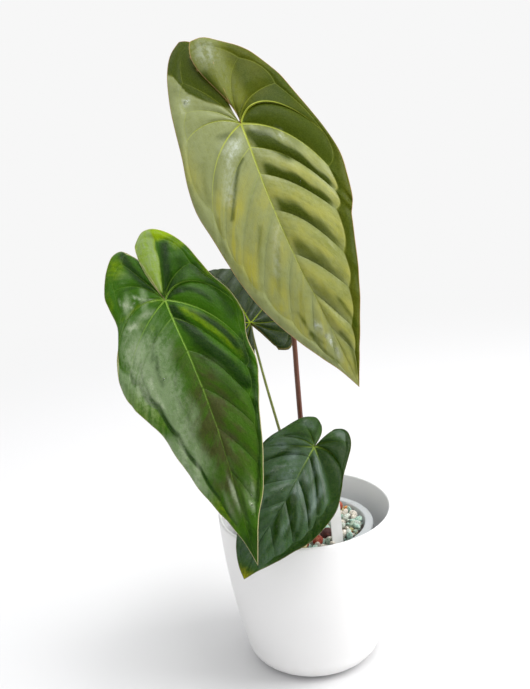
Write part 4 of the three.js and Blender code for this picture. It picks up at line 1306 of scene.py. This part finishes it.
def front_colours(m):
    """Painted blue-grey sheen inside the collecting vein, between creases darkened with painted
    shade, and a dark green brim deepened with painted shade.
    """
    x, a, t, outer, right = m["x"], m["a"], m["t"], m["outer"], m["side"] > 0
    # Painted shade along the creases, over the brim and the lobe, and in dark crumple strokes.
    rail = crease_shade(m, 1, 0.5, 6) * smooth(a, 95, 60)
    rail = rail + 0.5 * crease_shade(m, -1, 0.4, 6) * smooth(a, 100, 70)
    lobe = right * smooth(t, 6.0, 6.15)
    brim = right * smooth(outer, 0.0, 0.06) * smooth(a, 112, 90)
    shade = 0.85 * np.maximum(brim, lobe * smooth(a, -20, -8)) + 0.75 * rail
    point = smooth(a, 104, 117)
    shade += touches(m, [
        (0.7, 2.2, [(-4, -6), (-10, -6), (-18, -4), (-26, 2)]),
        (0.7, 1.8, [(-5, -12), (-6, -18), (-7, -24)]),
        (0.7, 2.4, [(-10, 6), (-15, 9), (-20, 16), (-24, 24)]),
        (0.6, 2.2, [(3, 10), (7, 16), (12, 25), (14, 34)]),
        (0.6, 2.4, [(-2, 40), (-8, 50), (-14, 60)]), (0.5, 2.2, [(-2, 62), (-8, 72), (-13, 82)]),
        (0.4, 1.2, [(0, 84), (-2, 96), (-1, 108)]),
        (0.6, 3.5, [(-34, -4), (-38, 10), (-39, 26), (-36, 44)]),
        (0.7, 3, [(6, 48), (12, 62), (14, 78)]), (0.6, 2.5, [(14, 48), (20, 62), (23, 78)]),
        (0.6, 2.5, [(2, 66), (6, 80), (6, 94)]), (0.6, 2.5, [(-16, 30), (-22, 42), (-25, 56)]),
        (0.5, 2, [(18, 22), (25, 34), (28, 48)]), (0.4, -28, 34, 4, 10), (0.5, 16, -10, 9, 12, 20),
        (0.4, -16, -10, 8, 5), (0.5, 4, 56, 6, 14), (0.35, 30, 60, 8, 20, 20),
    ])
    # Painted blue-grey sheen inside the collecting vein, with painted glints.
    silver = (1 - np.maximum(brim, lobe)) * (1 - point) * 0.52 * smooth(a, -8, 0) + touches(m, [
        (0.6, -14, -18, 9, 5, 30), (0.65, 15, -22, 10, 6), (0.5, -12, 15, 6, 3, 60),
        (0.35, 10, 14, 5, 10, 20), (0.5, 20, 40, 5, 18), (0.4, -26, 80, 8, 24, -24),
        (0.4, -24, 12, 5, 3), (0.4, 6, 40, 5, 14),
    ])
    warm = 0.6 * smooth(a, 106, 121)
    # Painted highlights: pale glints over the blade.
    pale = touches(m, [
        (0.35, -12, 16, 4, 1.6, 60), (0.3, -22, 10, 3, 1.6), (0.3, -9, -16, 3, 2),
        (0.3, 22, 44, 2, 14), (0.35, 9, 18, 1.6, 7, 20), (0.3, -8, 30, 6, 12, 10),
        (0.3, -18, 66, 3, 10, -20), (0.25, 10, 70, 2, 8),
    ])
    gold = 0.4 * (1 - brim) * (1 - silver) * (1 - point)
    return dict(zip(COLOURS, (shade * (1 - point), warm, silver, gold, pale)))


def back_colours(m):
    """Dark slate green, with painted sheen on the swelling between the veins and painted shade
    toward them.
    """
    phase = np.abs(np.sin(np.pi * m["t"]))
    silver, none = 0.55 * phase**2 * (m["outer"] == 0), 0 * phase
    return dict(zip(COLOURS, (0.25 * (1 - phase), none, silver, none, none)))


RELIEF = relief_tree()
BLADES = {}
for leaf, colours in (
    (TOP, top_colours), (LEFT, left_colours), (FRONT, front_colours), (BACK, back_colours)
):
    blade = flat_blade(leaf, colours)
    grown(blade, RELIEF, {
        **{label: float(leaf[label.lower()]) for label in SHAPE.split(", ")},
        "Length": float(leaf["stations"][0]), "Rib": RIB, "Thick": THICK,
        "Material": leaf_skin(leaf),
    })
    blade.data.transform(blade_axes(leaf))
    face_outward(blade)
    hand_over(blade, f"blade_{leaf['name']}", leaf["slot"])
    BLADES[leaf["name"]] = blade


# Stalks
# Round, firm stalks that rise from the stem's crown, thin out upwards and swell into a knee just
# behind the blade. The tallest is maroon, the others olive with fine streaks.

STALKS = [
    (TOP, "maroon", 2.5, 1.9, 0.7, 9, [
        (3.5, 2.5, 130), (3.5, 2, 150), (2.6, 0.5, 190), (2, 0, 234), (1.8, 0, 267), (1.6, 0, 299),
        (-1, 1, 345), (-6, 3, 395), (-13, 3, 440), (-21, -3, 465),
    ]),
    (LEFT, "olive", 2.3, 1.8, 0.6, 9, [
        (-4, -2.5, 130), (-6, -5, 147), (-11.6, -8, 167), (-22, -14, 190), (-33, -20, 212),
        (-51, -28, 254), (-70, -36, 303), (-86, -42, 337),
    ]),
    (FRONT, "olive", 1.6, 1.2, 0.5, 6, [
        (4.5, -5, 130), (5.5, -8, 150), (8, -15, 182), (10.5, -29, 205),
    ]),
    (BACK, "olive", 1.6, 1.1, 0.5, 6, [
        (-3, 4.5, 130), (-6, 8, 150), (-12, 11, 185), (-18.8, 14, 219), (-25.5, 17, 252),
        (-30, 20, 276),
    ]),
]


def stalk_line(leaf, reach, path, steps=24):
    """The stalk's path in metres: an even-handed smooth line through its points and its knee, which
    starts reach behind the leaf's joint."""
    axes = blade_axes(leaf)
    knee = [axes @ Vector((0, 0, depth * MM)) for depth in (-reach, -0.2, 1)]
    points = [np.array(p) * MM for p in path] + [np.array(p) for p in knee]
    points = [2 * points[0] - points[1], *points]
    gaps = [math.dist(a, b) ** 0.5 for a, b in zip(points, points[1:])]
    times = np.concatenate([[0], np.cumsum(gaps)])
    line = []

    def between(a, b, start, end, u):
        return ((end - u) * a + (u - start) * b) / (end - start)

    for i in range(1, len(points) - 2):
        p, k = points[i - 1:i + 3], times[i - 1:i + 3]
        for u in np.linspace(k[1], k[2], steps, endpoint=False):
            a = [between(p[j], p[j + 1], k[j], k[j + 1], u) for j in range(3)]
            b = [between(a[j], a[j + 1], k[j], k[j + 2], u) for j in range(2)]
            line.append(between(*b, k[1], k[2], u))
    return [*line, points[-2]]


def stalk_tree():
    """A tube along a path, tapered upwards, with a swollen knee at its top."""
    field = Field("round stalk", Float="Foot, Top, Knee", Int="Around")
    given = field.given
    curve = field.node("GeometryNodeMeshToCurve", {"Mesh": given["Geometry"]})
    step = {"Curve": curve, "Length": 1.6 * MM}
    curve = field.node("GeometryNodeResampleCurve", step, mode="LENGTH")
    way = field.node("GeometryNodeSplineParameter")
    taper = (way * 1.3).math("MINIMUM", 1.0)
    swell = ((((1 - way) / 0.06) ** 2) * -1.0).math("EXPONENT")
    radius = given["Foot"] + (given["Top"] - given["Foot"]) * taper + given["Knee"] * swell
    ring = {"Resolution": given["Around"], "Radius": 1.0}
    return field.end(field.node("GeometryNodeCurveToMesh", {
        "Curve": field.store(curve, "way", way), "Scale": radius * MM, "Fill Caps": True,
        "Profile Curve": field.node("GeometryNodeCurvePrimitiveCircle", ring),
    }))


def stalk_skin(name, low, high, streak):
    """Firm glossy skin, darker at the foot, with fine streaks along it and small pale flecks."""
    material, graph, shader = new_material(f"stalk {name}", high, 0.38, Coat_Roughness=0.25)
    streaks = graph.noise(graph.place(1, 1, 0.06), 0.9, 4)
    blotch = graph.noise(graph.place(1, 1, 0.35), 7, 3)
    fleck = graph.ease(graph.noise(graph.place(), 0.7, 2), 0.68, 0.74)
    skin = graph.mix(graph.ease(graph.attribute("way"), 0.0, 0.8), low, high)
    skin = graph.mix(graph.ease(streaks, 0.45, 0.7) * 0.55, skin, streak)
    feed(
        shader, Base_Color=graph.mix(fleck * 0.5, skin, paint(190, 180, 130)),
        Roughness=graph.even(blotch, 0.34, 0.46), Coat_Weight=graph.even(blotch, 0.25, 0.15),
        Normal=bump(streaks + blotch * 0.5, 0.08),
    )
    return material


STALK = stalk_tree()
SKINS = {
    "maroon": stalk_skin("maroon", paint(86, 38, 18), paint(118, 62, 26), paint(66, 28, 12)),
    "olive": stalk_skin("olive", paint(96, 96, 50), paint(124, 134, 62), paint(150, 160, 84)),
}
for leaf, colour, foot, top, knee, reach, path in STALKS:
    line, name = stalk_line(leaf, reach, path), leaf["name"]
    edges = [(i, i + 1) for i in range(len(line) - 1)]
    tube = new_piece(f"petiole_{name}_skin", line, [], edges=edges)
    grown(tube, STALK, {
        "Foot": foot, "Top": top, "Knee": knee, "Around": 20, "Material": SKINS[colour],
    })
    face_outward(tube)
    hand_over(tube, f"petiole_{name}", f"petiole_{colour}")


# Water drops
# Drops left by misting, near the tips and on the lobes: low clear domes of water that cling to the
# upper faces and turn with them.

DROPS = {
    "top": [
        (-12, 163, 1.5), (-8, 174, 1.1), (-5, 187, 1.3), (-31, -36, 1.8), (-9, 168, 0.8),
        (-6, 179, 1), (-10, 178, 0.7), (-3, 182, 0.8), (-14, 158, 0.7), (-2, 192, 0.8),
        (2, 30, 0.7), (22, 60, 0.7),
    ],
    "left": [(12, 170, 1.1), (14, 162, 0.8), (10, 176, 0.9), (16, 154, 0.8), (-20, 58, 0.8)],
    "front": [
        (-6, 28, 0.9), (-6, 46, 1.0), (-14, 40, 0.7), (12, 66, 0.8), (4, 74, 0.7), (-10, 90, 0.7),
    ],
}


def drop_tree():
    """A flattened ball on each point, turned to the leaf's face there."""
    field = Field("clinging drops", Float="Height")
    given, size = field.given, field.named("size")
    face = field.named("face", "FLOAT_VECTOR")
    points = {"Mesh": given["Geometry"], "Radius": MM}
    ball = {"Segments": 24, "Rings": 14, "Radius": 1.0}
    return field.end(field.node("GeometryNodeInstanceOnPoints", {
        "Points": field.node("GeometryNodeMeshToPoints", points),
        "Instance": field.node("GeometryNodeMeshUVSphere", ball),
        "Rotation": field.node("FunctionNodeAlignRotationToVector", {"Vector": face}, axis="Z"),
        "Scale": field.vector(X=size * MM, Y=size * (1.18 * MM), Z=size * given["Height"] * MM),
    }))


def water():
    """Clear water with a faint ripple."""
    material, graph, shader = new_material(
        "water", (1, 1, 1), 0.03, Transmission_Weight=1.0, IOR=1.33
    )
    feed(shader, Normal=bump(graph.noise(graph.place(), 1.5, 1), 0.01))
    return material


WATER = water()
DROP = drop_tree()
for leaf in (TOP, LEFT, FRONT):
    body = bmesh.new()
    body.from_mesh(BLADES[leaf["name"]].data)
    surface = BVHTree.FromBMesh(body)
    body.free()
    axes = blade_axes(leaf)
    outward = (axes.to_3x3() @ Vector((0, 0, 1))).normalized()
    spots, faces, sizes = [], [], []
    for x, a, size in DROPS[leaf["name"]]:
        above = axes @ (Vector((x, -a, 40)) * MM)
        spot, normal, *_ = surface.ray_cast(above, -outward)
        spots.append(spot + normal * size * 0.05 * MM)
        faces.append(normal)
        sizes.append(size)
    drops = new_piece(f"water_drops_{leaf['name']}", spots, [])
    mark(drops, "face", faces, "FLOAT_VECTOR")
    mark(drops, "size", sizes)
    grown(drops, DROP, {"Height": 0.42, "Material": WATER})
    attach(drops, "root")
    leaf["slot"]


# Studio
# A large pale floor, a white surround, a large soft window to the right and a weaker light
# overhead. The camera stands in front, a little above, tilted as the picture was taken.

PALE = (0.7, 0.7, 0.7)
SEEN = (0.93, 0.93, 0.93)
FLOOR = {"half": 6, "front": -1.4, "back": 7}


def floor():
    """A plain pale floor that glows far off, so that it fades into the surround."""
    material, graph, shader = new_material(
        "pale floor", PALE, 0.8, Emission_Strength=1.0, Specular_IOR_Level=0.0
    )
    apart = graph.node("ShaderNodeVectorMath", {0: graph.place()}, operation="LENGTH")["Value"]
    far = graph.ease(apart, 350, 1380)
    feed(
        shader, Base_Color=graph.mix(far, PALE, (0, 0, 0)),
        Emission_Color=graph.mix(far, (0, 0, 0), SEEN),
        Roughness=graph.even(graph.noise(graph.place(), 60, 2), 0.75, 0.85),
    )
    half, front, back = FLOOR.values()
    edge = [(-half, front, 0), (half, front, 0), (half, back, 0), (-half, back, 0)]
    sheet = new_piece("floor", edge, [(0, 1, 2, 3)], material)


def surround():
    """White all round, brighter overhead and darker to the left. What the gloss mirrors is bright
    high up and dim low down, as in a room."""
    world = bpy.data.worlds.new("surround")
    bpy.context.scene.world = world
    world.use_nodes = True
    graph = Graph(world.node_tree)
    ray = graph.node("ShaderNodeLightPath")
    way = graph.node("ShaderNodeTexCoord")["Generated"]
    part = graph.node("ShaderNodeSeparateXYZ", {"Vector": way})
    height = part["Z"]
    light = graph.mix(graph.ease(height, -0.3, 0.9), (0.5, 0.5, 0.51), (0.98, 0.98, 1.0))
    light = graph.mix(graph.ease(part["X"], 0.1, -0.95, 0, 0.42), light, (0.1, 0.1, 0.1))
    light = graph.mix(graph.ease(height, 0.7, 1.0), light, (1.7, 1.7, 1.72))
    mirrored = graph.mix(graph.ease(height, 0.1, 0.75), (0.06, 0.06, 0.06), (1.6, 1.62, 1.65))
    light = graph.mix(ray["Is Glossy Ray"], light, mirrored)
    background = world.node_tree.nodes["Background"]
    background.inputs["Strength"].default_value = 1.0
    feed(background, Color=graph.mix(ray["Is Camera Ray"], light, SEEN))


def softbox(name, place, aim, width, height, power, colour):
    """A large soft area light, aimed at a point."""
    lamp = bpy.data.lights.new(name, "AREA")
    lamp.shape = "RECTANGLE"
    lamp.size, lamp.size_y, lamp.energy, lamp.color = width, height, power, colour
    holder = linked(name, lamp)
    holder.location = place
    holder.rotation_euler = (Vector(aim) - Vector(place)).to_track_quat("-Z", "Y").to_euler()


floor()
surround()
softbox("window", (1.3, -0.1, 1.0), (0, 0, 0.28), 1.0, 1.2, 18, (1, 0.99, 0.98))
softbox("sky", (0.12, -0.35, 1.8), (0, 0, 0.3), 0.8, 0.8, 12, (0.98, 0.99, 1))

CAMERA = {"place": (0, -0.778, 0.525), "down": 16.45, "left": 1.71, "roll": 4.84, "lens": 50,
          "sensor": 36}


def camera():
    """The picture's view: the camera looks down, a little left, and is rolled clockwise."""
    down, left, roll = (math.radians(CAMERA[k]) for k in ("down", "left", "roll"))
    right = Vector((math.cos(left), math.sin(left), 0))
    level = math.cos(down)
    ahead = Vector((-math.sin(left) * level, math.cos(left) * level, -math.sin(down)))
    up = right.cross(ahead)
    across = right * math.cos(roll) - up * math.sin(roll)
    upward = right * math.sin(roll) + up * math.cos(roll)
    turn = Matrix((across, upward, -ahead)).transposed().to_4x4()
    lens = bpy.data.cameras.new("camera")
    lens.lens, lens.sensor_width, lens.sensor_fit = CAMERA["lens"], CAMERA["sensor"], "AUTO"
    holder = linked("camera", lens)
    holder.matrix_world = Matrix.Translation(CAMERA["place"]) @ turn
    bpy.context.scene.camera = holder


camera()
bpy.context.scene.view_settings.view_transform = "Standard"
